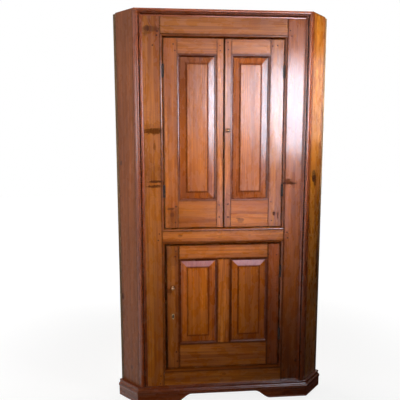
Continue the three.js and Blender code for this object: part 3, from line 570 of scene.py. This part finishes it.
def worked(node_name, worn, uneven=0.0, seed=0.0, handled=()):
    """A copy of a CAD node's mesh, merged, with its long convex edges rounded by `worn` metres.

    `handled` lists the front arrises that hands have worn rounder, as (axis number, place).
    """
    shape = bmesh.new()
    shape.from_mesh(frame["nodes"][node_name].data)
    bmesh.ops.remove_doubles(shape, verts=shape.verts, dist=0.02 * MM)
    bmesh.ops.dissolve_limit(shape, angle_limit=math.radians(1), verts=shape.verts, edges=shape.edges)
    if uneven:
        long = [edge for edge in shape.edges if edge.calc_length() > LONG_EDGE]
        for edge in long:
            cuts = int(edge.calc_length() / WANDER_STEP)
            bmesh.ops.bisect_edges(shape, edges=[edge], cuts=cuts)
        for vertex in shape.verts:
            if len(vertex.link_edges) == 2:
                vertex.co += waver(vertex.co, uneven, seed)
    for axis, place in handled:
        near = [
            edge
            for edge in shape.edges
            if edge.is_manifold
            and all(abs(end.co[axis] - place) < NEAR for end in edge.verts)
            and all(abs(end.co.y - DOOR_FACE) < NEAR for end in edge.verts)
            and edge.calc_length() > SHORT_EDGE
        ]
        round_over(shape, near, HANDLED_ROUND, 3)
    if worn:
        arris = [
            edge
            for edge in shape.edges
            if edge.is_manifold
            and edge.calc_length() > SHORT_EDGE
            and edge.calc_face_angle_signed(0) > ARRIS
        ]
        round_over(shape, arris, worn, 2)
    crisp(shape, CREASE)
    mesh = bpy.data.meshes.new(node_name + "_worked")
    shape.to_mesh(mesh)
    shape.free()
    return mesh


def body_of(node_name):
    for body, members in frame["record"]["behaviour"]["bodies"].items():
        if node_name in members:
            return body


def place_piece(name, mesh, material, body):
    piece = bpy.data.objects.new(name, mesh)
    bpy.context.scene.collection.objects.link(piece)
    mesh.materials.clear()
    mesh.materials.append(material)
    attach(piece, body)
    return piece


def door_edges(node_name):
    """The outer edges of a door's own stile or rail, which are handled most."""
    door = next((name for name in DOORS if node_name.startswith(name)), None)
    if door is None or "panel" in node_name or not node_name.endswith(("stile", "rail")):
        return []
    fellows = (name for name in frame["nodes"] if name.startswith(door))
    boxes = [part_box(name) for name in fellows if name.endswith(("stile", "rail"))]
    edges = []
    for axis in (0, 2):
        for pick, side in ((min, 0), (max, 1)):
            edges.append((axis, pick(box[side][axis] for box in boxes)))
    return edges


def board(node_name, material, worn=0.8 * MM, uneven=0.25 * MM):
    seed = sum(ord(letter) for letter in node_name) % 97 / 7
    mesh = worked(node_name, worn, uneven, seed, door_edges(node_name))
    piece = place_piece(node_name + "_worked", mesh, material, body_of(node_name))
    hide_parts(node_name)
    return piece


# Knots, marks, and some patches and lines of painted shade, in the board's own axes. On a level board
# they are (height, -x).

BOARDS = [
    # name, tone, how light it is among its fellows (its own tone, and painted light and shade),
    # axes, slot, then knots (across, along, radius, stretch, strength) and spots (as for blots)
    ("left_stile", POLISHED, 1.13, UPRIGHT, "frame_pine",
     [(-0.377, 1.909, 0.014, 1.1, 0.8), (-0.279, 1.012, 0.007, 1.3, 0.8)],
     [(-0.356, 1.907, 0.050, 0.014, 0.5), (-0.384, 1.886, 0.014, 0.012, 0.5),
      (-0.350, 1.421, 0.050, 0.017, 0.8), (-0.368, 1.440, 0.030, 0.022, 0.4),
      (-0.346, 1.345, 0.007, 0.022, 0.6), (-0.352, 1.215, 0.045, 0.055, 0.4),
      (-0.343, 1.172, 0.042, 0.007, 0.9), (-0.350, 1.148, 0.036, 0.007, 0.85),
      (-0.360, 1.310, 0.070, 0.200, 0.22)]),
    ("right_stile", REDDISH, 0.95, UPRIGHT, "frame_pine",
     [(0.394, 0.196, 0.008, 1.2, 1.0)],
     [(0.340, 1.157, 0.034, 0.007, 0.85), (0.332, 1.170, 0.016, 0.012, 0.7),
      # the broad soft patch near its foot is painted shade
      (0.370, 0.240, 0.070, 0.260, 0.25)]),
    ("top_rail", TOP_RAIL, 0.87, LEVEL, "frame_pine", [], []),
    ("middle_rail", POLISHED, 1.22, LEVEL, "frame_pine",
     [(0.893, 0.224, 0.008, 1.5, 0.45), (0.884, 0.019, 0.007, 1.5, 0.5),
      (0.905, 0.021, 0.005, 1.6, 0.6), (0.889, -0.135, 0.005, 1.7, 0.5)], []),
    ("bottom_rail", LOW_RAIL, 1.17, LEVEL, "frame_pine",
     [(0.136, -0.005, 0.008, 1.4, 0.5), (0.108, 0.006, 0.007, 1.5, 0.5)], []),
    ("left_return", DULL_RETURN, 1.08, upright_on(-SLANT), "frame_pine",
     [(-0.200, 1.263, 0.009, 1.5, 0.9), (-0.151, 0.177, 0.008, 1.4, 0.8)],
     [(-0.2105, 0.556, 0.010, 0.016, 0.7), (-0.215, 1.72, 0.006, 0.05, 0.3)]),
    ("right_return", RETURN, 1.1, upright_on(SLANT), "frame_pine",
     [(0.137, 1.192, 0.022, 1.5, 1.0)],
     [(0.148, 1.176, 0.020, 0.036, 0.85), (0.205, 0.72, 0.014, 0.12, 0.75),
      # its last spot, a broad soft patch, is painted shade
      (0.215, 0.95, 0.006, 0.2, 0.5), (0.170, 0.57, 0.060, 0.090, 0.4)]),
    ("upper_left_door_hinge_stile", DOOR, 1.16, UPRIGHT, "frame_pine",
     [(-0.262, 1.002, 0.009, 1.2, 0.6)],
     [(-0.272, 1.032, 0.022, 0.006, 0.75), (-0.255, 0.985, 0.04, 0.06, 0.35)]),
    ("upper_left_door_meeting_stile", DOOR, 1.15, UPRIGHT, "frame_pine", [], []),
    ("upper_left_door_top_rail", DOOR, 1.0, LEVEL, "frame_pine", [], []),
    ("upper_left_door_bottom_rail", CLEAR, 1.08, LEVEL, "frame_pine", [], []),
    ("upper_left_door_panel", PANEL, 0.85, UPRIGHT, "panel_pine", [], []),
    ("upper_right_door_hinge_stile", DOOR, 0.9, UPRIGHT, "frame_pine",
     [], [(0.262, 1.003, 0.007, 0.014, 0.9), (0.282, 0.990, 0.005, 0.018, 0.8)]),
    ("upper_right_door_meeting_stile", BRIGHT_DOOR, 1.2, UPRIGHT, "frame_pine", [],
     [(0.02, 1.00, 0.04, 0.12, 0.4), (0.018, 1.424, 0.013, 0.013, 0.6)]),
    ("upper_right_door_top_rail", DOOR, 1.0, LEVEL, "frame_pine", [], []),
    ("upper_right_door_bottom_rail", CLEAR, 1.05, LEVEL, "frame_pine",
     [(0.970, -0.089, 0.013, 1.3, 0.6)],
     [(0.979, -0.075, 0.003, 0.010, 0.7), (0.957, -0.090, 0.002, 0.014, 0.6)]),
    ("upper_right_door_panel", PANEL, 0.93, UPRIGHT, "panel_pine", [], []),
    ("lower_door_lock_stile", LOW_DOOR, 0.88, UPRIGHT, "frame_pine", [],
     # its two small spots beside the knob, at heights 0.62 and 0.601, are soiling and painted shade
     [(-0.27, 0.79, 0.04, 0.06, 0.3), (-0.263, 0.62, 0.015, 0.015, 0.65),
      (-0.282, 0.601, 0.013, 0.016, 0.6)]),
    ("lower_door_hinge_stile", RED_DOOR, 1.02, UPRIGHT, "frame_pine", [],
     # its broad soft patch on the lower part is painted shade
     [(0.268, 0.38, 0.05, 0.26, 0.32)]),
    ("lower_door_top_rail", LOW_TOP, 1.1, LEVEL, "frame_pine", [], []),
    ("lower_door_bottom_rail", LOW_DOOR, 1.12, LEVEL, "frame_pine", [], []),
    ("lower_door_muntin", LOW_DOOR, 1.26, UPRIGHT, "frame_pine", [], []),
    ("lower_door_left_panel", LOW_PANEL, 1.1, UPRIGHT, "panel_pine", [], []),
    ("lower_door_right_panel", LOW_PANEL, 0.88, UPRIGHT, "panel_pine", [], []),
    ("top_edge_moulding", MOULDING, 1.6, LEVEL, "moulding_pine", [],
     # a dark line along it is painted shade, and dulls its polish there too
     [(1.976, 0, 0.005, 3, 0.7)]),
    ("left_edge_moulding", LEFT_MOULDING, 1.05, UPRIGHT, "moulding_pine", [],
     # a dark line along its cove: soiling and painted shade, which dulls its polish there too
     [(-0.415, 1, 0.003, 3, 1.0)]),
    ("right_edge_moulding", MOULDING, 1.0, UPRIGHT, "moulding_pine", [],
     # a dark line along its cove: soiling and painted shade, which dulls its polish there too
     [(0.415, 1, 0.003, 3, 1.0)]),
    ("plinth_front", PLINTH, 1.05, LEVEL, "moulding_pine", [], []),
    ("plinth_left", PLINTH, 1.05, level_on(-SLANT), "moulding_pine", [], []),
    ("plinth_right", PLINTH, 1.05, level_on(SLANT), "moulding_pine", [], []),
]
INNER_SHELVES = ("upper_shelf_1", "upper_shelf_2", "lower_shelf_1")
WALLS = (("left", SLANT), ("right", -SLANT))
WALL_BOARDS = 3


def dress_boards():
    for i, (name, tone, level, axes, slot, knots, spots) in enumerate(BOARDS):
        pith = (0.03 * math.sin(i * 2.3), 0.045 + 0.03 * math.sin(i * 1.7))
        reach = face_reach(name, axes) if slot != "moulding_pine" else None
        seed = 0.9 + 0.61 * i
        material = pine(name + "_pine", tone, axes, seed, level, knots, spots, pith, reach)
        board(name, material)
    for name in ("top_board", "middle_board", "floor_board", *INNER_SHELVES):
        seed = 3.1 + 0.7 * len(bpy.data.materials)
        material = pine(name + "_pine", INSIDE, SHELF, seed)
        board(name, material, worn=1.0 * MM, uneven=0.3 * MM)
    for side, turn in WALLS:
        for i in range(WALL_BOARDS):
            name = f"{side}_backboard_{i + 1}"
            seed = 5.3 + 0.9 * i + turn
            level = 1 + 0.13 * math.sin(2.6 * i + 4 * turn)
            material = pine(name + "_pine", BACK, upright_on(turn), seed, level)
            board(name, material, worn=2.2 * MM, uneven=0.3 * MM)


# Turned knobs, each in one piece with the spindle or shank behind it.

KNOB_RADIUS = 8.5 * MM
KNOB_CREASE = math.radians(42)
SPINDLE_END = DOOR_FACE + 0.5 * MM  # inside the wood
KNOB_PROFILE = [  # radius, and distance out from the wood, in millimetres
    (0, -2.5), (2.3, -2.5), (2.3, 0), (6.6, 0), (7.0, 0.4), (7.0, 1.1), (6.5, 1.6), (5.0, 1.9),
    (4.2, 2.5), (3.7, 3.8), (3.5, 5.6), (3.8, 7.2), (4.6, 8.3), (4.9, 8.8), (4.7, 9.3), (5.6, 9.9),
    (7.0, 11.2), (8.0, 12.9), (8.5, 15.0), (8.2, 17.2), (7.2, 19.4), (5.6, 21.2), (3.6, 22.4),
    (1.6, 22.95), (0, 23),
]


def turned_knob(node_name, material):
    """The CAD node's own spindle, with a finer turned head in front of the wood."""
    lowest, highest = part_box(node_name)
    shape = bmesh.new()
    shape.from_mesh(worked(node_name, 0.2 * MM))
    cut_off(shape, (0, SPINDLE_END, 0), (0, 1, 0))
    x = (lowest.x + highest.x) / 2
    z = highest.z - KNOB_RADIUS
    seat = DOOR_FACE - SEAT_GAP
    profile = [shape.verts.new((x + radius * MM, seat - out * MM, z)) for radius, out in KNOB_PROFILE]
    edges = [shape.edges.new(pair) for pair in zip(profile, profile[1:])]
    bmesh.ops.spin(
        shape,
        geom=profile + edges,
        cent=(x, 0, z),
        axis=(0, 1, 0),
        angle=math.tau,
        steps=48,
        use_merge=True,
    )
    bmesh.ops.remove_doubles(shape, verts=shape.verts, dist=0.005 * MM)
    bmesh.ops.recalc_face_normals(shape, faces=shape.faces)
    crisp(shape, KNOB_CREASE)
    mesh = bpy.data.meshes.new(node_name + "_turned")
    shape.to_mesh(mesh)
    shape.free()
    piece = place_piece(node_name + "_turned", mesh, material, body_of(node_name))
    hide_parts(node_name)


def middle_of(node_name):
    lowest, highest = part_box(node_name)
    return (lowest + highest) / 2


def dress_metal():
    dull_iron = iron("old_iron")
    knob_brass = brass("knob_brass", srgb(236, 186, 140), srgb(74, 40, 24), (0.18, 0.34))
    keyhole = middle_of("lock_escutcheon")
    plate_brass = brass("plate_brass", srgb(222, 210, 168), srgb(158, 140, 104), (0.34, 0.5), keyhole)
    for name in frame["nodes"]:
        if name.endswith("_leaf") or name in ("upper_left_door_bolt", "lock_case"):
            board(name, dull_iron, worn=0.3 * MM, uneven=0)
        elif name in ("upper_turn_catch", "lower_pull_knob"):
            turned_knob(name, knob_brass)
        elif name in ("lock_escutcheon", "lock_bolt"):
            board(name, plate_brass, worn=0.2 * MM, uneven=0)
    drive_pegs()
    drive_screws(dull_iron)
    drive_nails(dull_iron)
    drive_escutcheon_pins(plate_brass)


# Small fixings: pegs, screws, nails and pins, gathered into one piece for each thing that they hold.


def gathered(name, parts, material, body, smooth=False):
    """One piece made of several small ones, each a (bmesh, matrix) pair."""
    whole = bmesh.new()
    for part, matrix in parts:
        own = part.copy()
        own.transform(matrix)
        carrier = bpy.data.meshes.new("carrier")
        own.to_mesh(carrier)
        own.free()
        whole.from_mesh(carrier)
        bpy.data.meshes.remove(carrier)
    bmesh.ops.recalc_face_normals(whole, faces=whole.faces)
    for face in whole.faces:
        face.smooth = smooth
    mesh = bpy.data.meshes.new(name)
    whole.to_mesh(mesh)
    whole.free()
    return place_piece(name, mesh, material, body)


def stub(radius, tip_radius, length, sides, rim=0.0):
    """A short round bar along Z, from -length/2 to length/2, with its far rim taken off."""
    part = bmesh.new()
    bmesh.ops.create_cone(
        part, cap_ends=True, segments=sides, radius1=radius, radius2=tip_radius, depth=length
    )
    if rim:
        far = [edge for edge in part.edges if all(end.co.z > length * 0.49 for end in edge.verts)]
        round_over(part, far, rim, 2)
    return part


def facing_front(x, y, z, roll=0.0):
    """Stands a part made along Z at a place, with its far end towards the front."""
    turn = Matrix.Rotation(math.radians(90), 4, "X") @ Matrix.Rotation(roll, 4, "Z")
    return Matrix.Translation((x, y, z)) @ turn


PEG_RADIUS = 4.3 * MM
PEG_LENGTH = 5 * MM
PEG_PROUD = 0.5 * MM
PEG_RIM = 0.7 * MM
PEGS = {  # the face that they stand in, and the x and height of each, in millimetres, by body
    "carcass": (FRONT, [
        (-327, 1896), (-330, 1877), (-350, 1831), (326, 1910), (334, 1884), (-329, 905), (-335, 872),
        (331, 902), (336, 872), (-331, 140), (-334, 96), (331, 142), (334, 98),
    ]),
    "upper_left_door": (DOOR_FACE, [
        (-250, 1839), (-242, 1809), (-22, 1835), (-20, 1811),
        (-23, 1049), (-23, 987), (-243, 1044), (-247, 962),
    ]),
    "upper_right_door": (DOOR_FACE, [
        (18, 1851), (20, 1817), (241, 1836), (265, 1839),
        (22, 1053), (22, 986), (245, 1062), (250, 964),
    ]),
    "lower_door": (DOOR_FACE, [
        (239, 786), (280, 782), (-246, 812), (-250, 784),
        (-248, 268), (-244, 216), (252, 270), (246, 214),
    ]),
}


def end_grain(name):
    material, tree = new_material(name)
    where = node(tree, "TexCoord").outputs["Object"]
    speck = grains(tree, where, "end_grain")
    colour = mixed(tree, ranged(tree, speck, 0.35, 0.7), srgb(78, 28, 12), srgb(40, 15, 8))
    bump = node(tree, "Bump", {"Strength": 0.5, "Distance": 0.3 * MM, "Height": speck}).outputs[0]
    finished(tree, {"Base Color": colour, "Roughness": 0.6, "Specular IOR Level": 0.1, "Normal": bump})
    return material


def drive_pegs():
    material = end_grain("peg_end_grain")
    for body, (face, places) in PEGS.items():
        parts = []
        for i, (x, z) in enumerate(places):
            radius = PEG_RADIUS * (1 + 0.14 * math.sin(7.3 * i + len(body)))
            part = stub(radius, radius * 0.95, PEG_LENGTH, 9 + i % 3, PEG_RIM)
            y = face + PEG_LENGTH / 2 - PEG_PROUD
            parts.append((part, facing_front(x * MM, y, z * MM, 1.1 * i)))
        gathered(body + "_pegs", parts, material, body)


SCREW_RADIUS = 3.1 * MM
SCREW_LENGTH = 0.6 * MM
SCREW_PROUD = 0.12 * MM
SCREW_SLOT = 0.8 * MM
BARREL_RADIUS = 5.5 * MM
SCREW_PLACES = [(-22, 15), (0, 9), (22, 15)]  # up from a leaf's middle, and back from its pin


def slotted_head():
    """A screw's head along Z: two half rounds with the slot between them."""
    part = stub(SCREW_RADIUS, SCREW_RADIUS * 0.97, SCREW_LENGTH, 24)
    cut_off(part, (SCREW_SLOT / 2, 0, 0), (1, 0, 0))
    half = part.verts[:] + part.edges[:] + part.faces[:]
    bmesh.ops.mirror(part, geom=half, merge_dist=0, axis="X")
    return part


def drive_screws(material):
    head = slotted_head()
    for name in frame["nodes"]:
        if not name.endswith("_leaf"):
            continue
        middle = middle_of(name)
        pin_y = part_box(name)[0].y + BARREL_RADIUS
        side = 1 if middle.x > 0 else -1
        out = -side if "frame_leaf" in name else side
        x = middle.x - out * (SEAT_GAP - SCREW_PROUD + SCREW_LENGTH / 2)
        parts = []
        for i, (up, back) in enumerate(SCREW_PLACES):
            y = pin_y + back * MM
            facing = Matrix.Rotation(math.radians(90 * out), 4, "Y")
            turn = Matrix.Rotation(0.9 + 1.9 * i, 4, "Z")
            stand = Matrix.Translation((x, y, middle.z + up * MM))
            parts.append((head, stand @ (facing @ turn)))
        gathered(name + "_screws", parts, material, body_of(name))


NAIL_RADIUS = 4.4 * MM
NAIL_TOP = 1.3 * MM
NAIL_HEIGHT = 1.6 * MM
NAIL_STRAY = 6 * MM
NAIL_SHARES = (0.17, 0.83)  # of a board's width
NAILED = (
    "floor_board", "lower_shelf_1", "middle_board", "upper_shelf_1", "upper_shelf_2", "top_board",
)


def drive_nails(material):
    """Rose-headed nails through the backboards, two to a board into each shelf's edge."""
    head = stub(NAIL_RADIUS, NAIL_TOP, NAIL_HEIGHT, 6)
    heights = [middle_of(name).z for name in NAILED]
    for side, turn in WALLS:
        axes = upright_on(turn)
        outward = axes.transposed().to_4x4()
        parts = []
        for i in range(WALL_BOARDS):
            vertices = frame["nodes"][f"{side}_backboard_{i + 1}"].data.vertices
            points = [axes @ vertex.co for vertex in vertices]
            face = max(point.y for point in points)
            flat = [point.x for point in points if point.y > face - NEAR]
            left, right = min(flat), max(flat)
            for j, height in enumerate(heights):
                for share in NAIL_SHARES:
                    stray = NAIL_STRAY * math.sin(5.1 * i + 3.7 * j + 9 * share)
                    across = left + share * (right - left) + stray
                    own = Vector((across, face + NAIL_HEIGHT / 2, height + stray))
                    stand = Matrix.Translation(own) @ Matrix.Rotation(math.radians(-90), 4, "X")
                    parts.append((head, outward @ stand))
        gathered(side + "_backboard_nails", parts, material, "carcass")


PIN_RADIUS = 1.3 * MM
PIN_TOP = 1.1 * MM
PIN_LENGTH = 1.2 * MM
PIN_RIM = 0.4 * MM
PIN_PROUD = 0.7 * MM


def drive_escutcheon_pins(material):
    lowest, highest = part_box("lock_escutcheon")
    head = stub(PIN_RADIUS, PIN_TOP, PIN_LENGTH, 16, PIN_RIM)
    x = middle_of("lock_escutcheon").x
    y = lowest.y + PIN_LENGTH / 2 - PIN_PROUD
    heights = (highest.z - 3.1 * MM, lowest.z + 3.4 * MM)
    parts = [(head, facing_front(x, y, z)) for z in heights]
    body = body_of("lock_escutcheon")
    gathered("lock_escutcheon_pins", parts, material, body, smooth=True)


# The stage: a pale floor, soft lamps, and dark cards that stand where the photographed room was dark.


def card(name, corners, material):
    mesh = bpy.data.meshes.new(name)
    shape = bmesh.new()
    shape.faces.new([shape.verts.new(corner) for corner in corners])
    shape.to_mesh(mesh)
    shape.free()
    mesh.materials.append(material)
    piece = bpy.data.objects.new(name, mesh)
    bpy.context.scene.collection.objects.link(piece)
    return piece


def upright_card(name, start, end, low, high, material):
    return card(name, [(*start, low), (*end, low), (*end, high), (*start, high)], material)


def level_card(name, left, right, near, far, height, material):
    corners = [(left, near, height), (right, near, height), (right, far, height), (left, far, height)]
    return card(name, corners, material)


def seen_rays(tree):
    """1 for camera, glossy and transmission rays, which are the ones that see the pale surroundings."""
    path = node(tree, "LightPath").outputs
    glossy = sum_of(tree, "MAXIMUM", path["Is Glossy Ray"], path["Is Transmission Ray"])
    return sum_of(tree, "MAXIMUM", path["Is Camera Ray"], glossy)


def floor_material():
    material, tree = new_material("pale_floor")
    where = node(tree, "TexCoord").outputs["Object"]
    apart = vector_of(tree, "LENGTH", where)
    glow = sum_of(tree, "MULTIPLY", ranged(tree, apart, 0.6, 2.0, 0.84, 1.0), seen_rays(tree))
    lit = node(tree, "BsdfDiffuse", {"Color": (0.25, 0.25, 0.25, 1)}).outputs[0]
    shine = node(tree, "Emission", {"Color": (1, 1, 1, 1), "Strength": glow}).outputs[0]
    both = node(tree, "AddShader", {0: lit, 1: shine}).outputs[0]
    tree.links.new(both, node(tree, "OutputMaterial").inputs[0])
    return material


def dark_material():
    material, tree = new_material("dark_card")
    shine = node(tree, "Emission", {"Color": srgb(46, 42, 48), "Strength": 0.5}).outputs[0]
    tree.links.new(shine, node(tree, "OutputMaterial").inputs[0])
    return material


def lamp(name, place, aim, size, power, colour, spread):
    data = bpy.data.lights.new(name, "AREA")
    data.shape = "RECTANGLE"
    data.size, data.size_y = size
    data.energy = power
    data.color = colour
    data.spread = math.radians(spread)
    item = bpy.data.objects.new(name, data)
    bpy.context.scene.collection.objects.link(item)
    item.location = place
    item.rotation_euler = (Vector(aim) - Vector(place)).to_track_quat("-Z", "Y").to_euler()
    item.visible_camera = False
    return item


WINDOWS = [
    # name, place, aim, size, power and colour of each soft window, which only shows in the polish
    ("window", (1.40, -3.31, 1.77), (0.25, -0.31, 1.60), (0.85, 1.0), 62, (0.66, 0.82, 1.0)),
    ("window_curtain", (0.72, -3.35, 1.885), (0.1, -0.31, 1.6), (1.1, 0.77), 20.5, (0.82, 0.85, 1.0)),
    ("window_glow", (0.55, -3.9, 1.72), (0.3, -0.31, 1.6), (2.6, 1.55), 3.4, (1.0, 0.92, 0.78)),
    ("window_foot", (0.66, -3.31, 0.58), (0.2, -0.31, 1.0), (0.9, 0.5), 5, (1.0, 0.84, 0.96)),
    ("side_window", (2.86, 0.6, 1.82), (0.5, -0.25, 1.6), (0.9, 0.85), 3.1, (1.0, 0.95, 0.97)),
    ("left_wall", (-2.6, -1.8, 1.6), (-0.43, -0.9, 1.6), (2.0, 1.0), 30, (1.0, 0.9, 0.98)),
    ("left_strip", (-2.4, -3.0, 1.8), (-0.45, -0.3, 1.6), (0.5, 1.3), 14, (0.95, 0.9, 1.0)),
]
LAMPS = [
    # name, place, aim, side, power and spread of each lamp, which lights the wood but doesn't show
    ("high_right", (1.9, -1.5, 2.7), (0.4, -0.25, 1.72), 0.9, 5.2, 50),
    ("far_right", (2.4, -1.9, 2.2), (0.53, -0.25, 1.5), 0.6, 2.8, 22),
    ("top_front", (-0.35, -2.2, 3.0), (-0.18, -0.3, 1.78), 0.8, 1.9, 30),
    ("low_front", (-0.2, -2.9, 1.9), (-0.05, -0.3, 0.92), 0.8, 1.35, 22),
    ("low_left", (-1.3, -2.6, 0.9), (-0.35, -0.3, 0.2), 0.5, 0.25, 24),
    ("left_side", (-3.0, -1.2, 1.6), (-0.5, -0.2, 1.2), 1.2, 2.5, 60),
    ("back_left", (-2.5, 2.4, 1.9), (-0.27, 0.06, 0.95), 1.0, 7, 40),
    ("back_right", (2.5, 2.4, 1.9), (0.27, 0.06, 0.95), 1.0, 7, 40),
]
LAMP_COLOUR = (1.0, 0.97, 0.93)

# The dark half of the room, and the height of the pale floor and of the dark cards on it.
ROOM_FRONT, ROOM_BACK, ROOM_RIGHT, ROOM_TOP = -4.2, 3.0, 3.2, 3.6
FLOOR_REACH = 9
FLOOR_LEVEL = -0.4 * MM
CARD_LEVEL = 2 * MM


def stage():
    floor_edges = (-FLOOR_REACH, FLOOR_REACH, -FLOOR_REACH, FLOOR_REACH)
    level_card("floor", *floor_edges, FLOOR_LEVEL, floor_material())
    dark = dark_material()
    corner = (ROOM_RIGHT, ROOM_FRONT)
    cards = [
        upright_card("dark_card_front", (-1.6, ROOM_FRONT), corner, 0, ROOM_TOP, dark),
        upright_card("dark_card_right", corner, (ROOM_RIGHT, ROOM_BACK), 0, ROOM_TOP, dark),
        level_card("dark_card_above", -2.4, ROOM_RIGHT, ROOM_FRONT, ROOM_BACK, ROOM_TOP, dark),
        level_card("dark_card_low_front", -0.62, ROOM_RIGHT, ROOM_FRONT, -0.34, CARD_LEVEL, dark),
        level_card("dark_card_low_right", 0.45, ROOM_RIGHT, -0.34, ROOM_BACK, CARD_LEVEL, dark),
    ]
    for item in cards:
        item.visible_camera = False
        item.visible_diffuse = False
        item.visible_shadow = False
        item.visible_transmission = False
    flag = upright_card("flag", (1.2, -1.0), (1.2, -0.2), 0.6, 1.8, dark)
    flag.visible_camera = False
    flag.visible_diffuse = False
    flag.visible_glossy = False
    flag.visible_transmission = False

    for name, place, aim, size, power, colour in WINDOWS:
        lamp(name, place, aim, size, power, colour, 180).visible_diffuse = False
    for name, place, aim, side, power, spread in LAMPS:
        lamp(name, place, aim, (side, side), power, LAMP_COLOUR, spread).visible_glossy = False

    world = bpy.data.worlds.new("pale_room")
    bpy.context.scene.world = world
    world.use_nodes = True
    tree = world.node_tree
    tree.nodes.clear()
    strength = ranged(tree, seen_rays(tree), 0, 1, 0.1, 1.0, "LINEAR")
    surround = node(tree, "Background", {"Color": (1, 1, 1, 1), "Strength": strength})
    tree.links.new(surround.outputs[0], node(tree, "OutputWorld").inputs[0])


# The camera, at the photograph's place and angle.

CAMERA = {
    "place": (-0.3062, -2.5478, 1.3610),
    "yaw": 0.0823,
    "pitch": -0.1261,
    "roll": -0.0022,
    "focal_px": 446.4,
}
IMAGE_PX = 400
SENSOR = 36.0


def camera():
    data = bpy.data.cameras.new("camera")
    data.sensor_width = SENSOR
    data.lens = SENSOR * CAMERA["focal_px"] / IMAGE_PX
    item = bpy.data.objects.new("camera", data)
    bpy.context.scene.collection.objects.link(item)
    yaw, pitch, roll = CAMERA["yaw"], CAMERA["pitch"], CAMERA["roll"]
    along = math.cos(pitch)
    ahead = Vector((math.sin(yaw) * along, math.cos(yaw) * along, math.sin(pitch)))
    level = Vector((math.cos(yaw), -math.sin(yaw), 0))
    above = level.cross(ahead)
    right = math.cos(roll) * level + math.sin(roll) * above
    up = -math.sin(roll) * level + math.cos(roll) * above
    turn = Matrix((right, up, -ahead)).transposed()
    item.matrix_world = Matrix.Translation(CAMERA["place"]) @ turn.to_4x4()
    bpy.context.scene.camera = item


dress_boards()
dress_metal()
stage()
camera()
bpy.context.scene.view_settings.view_transform = "Standard"
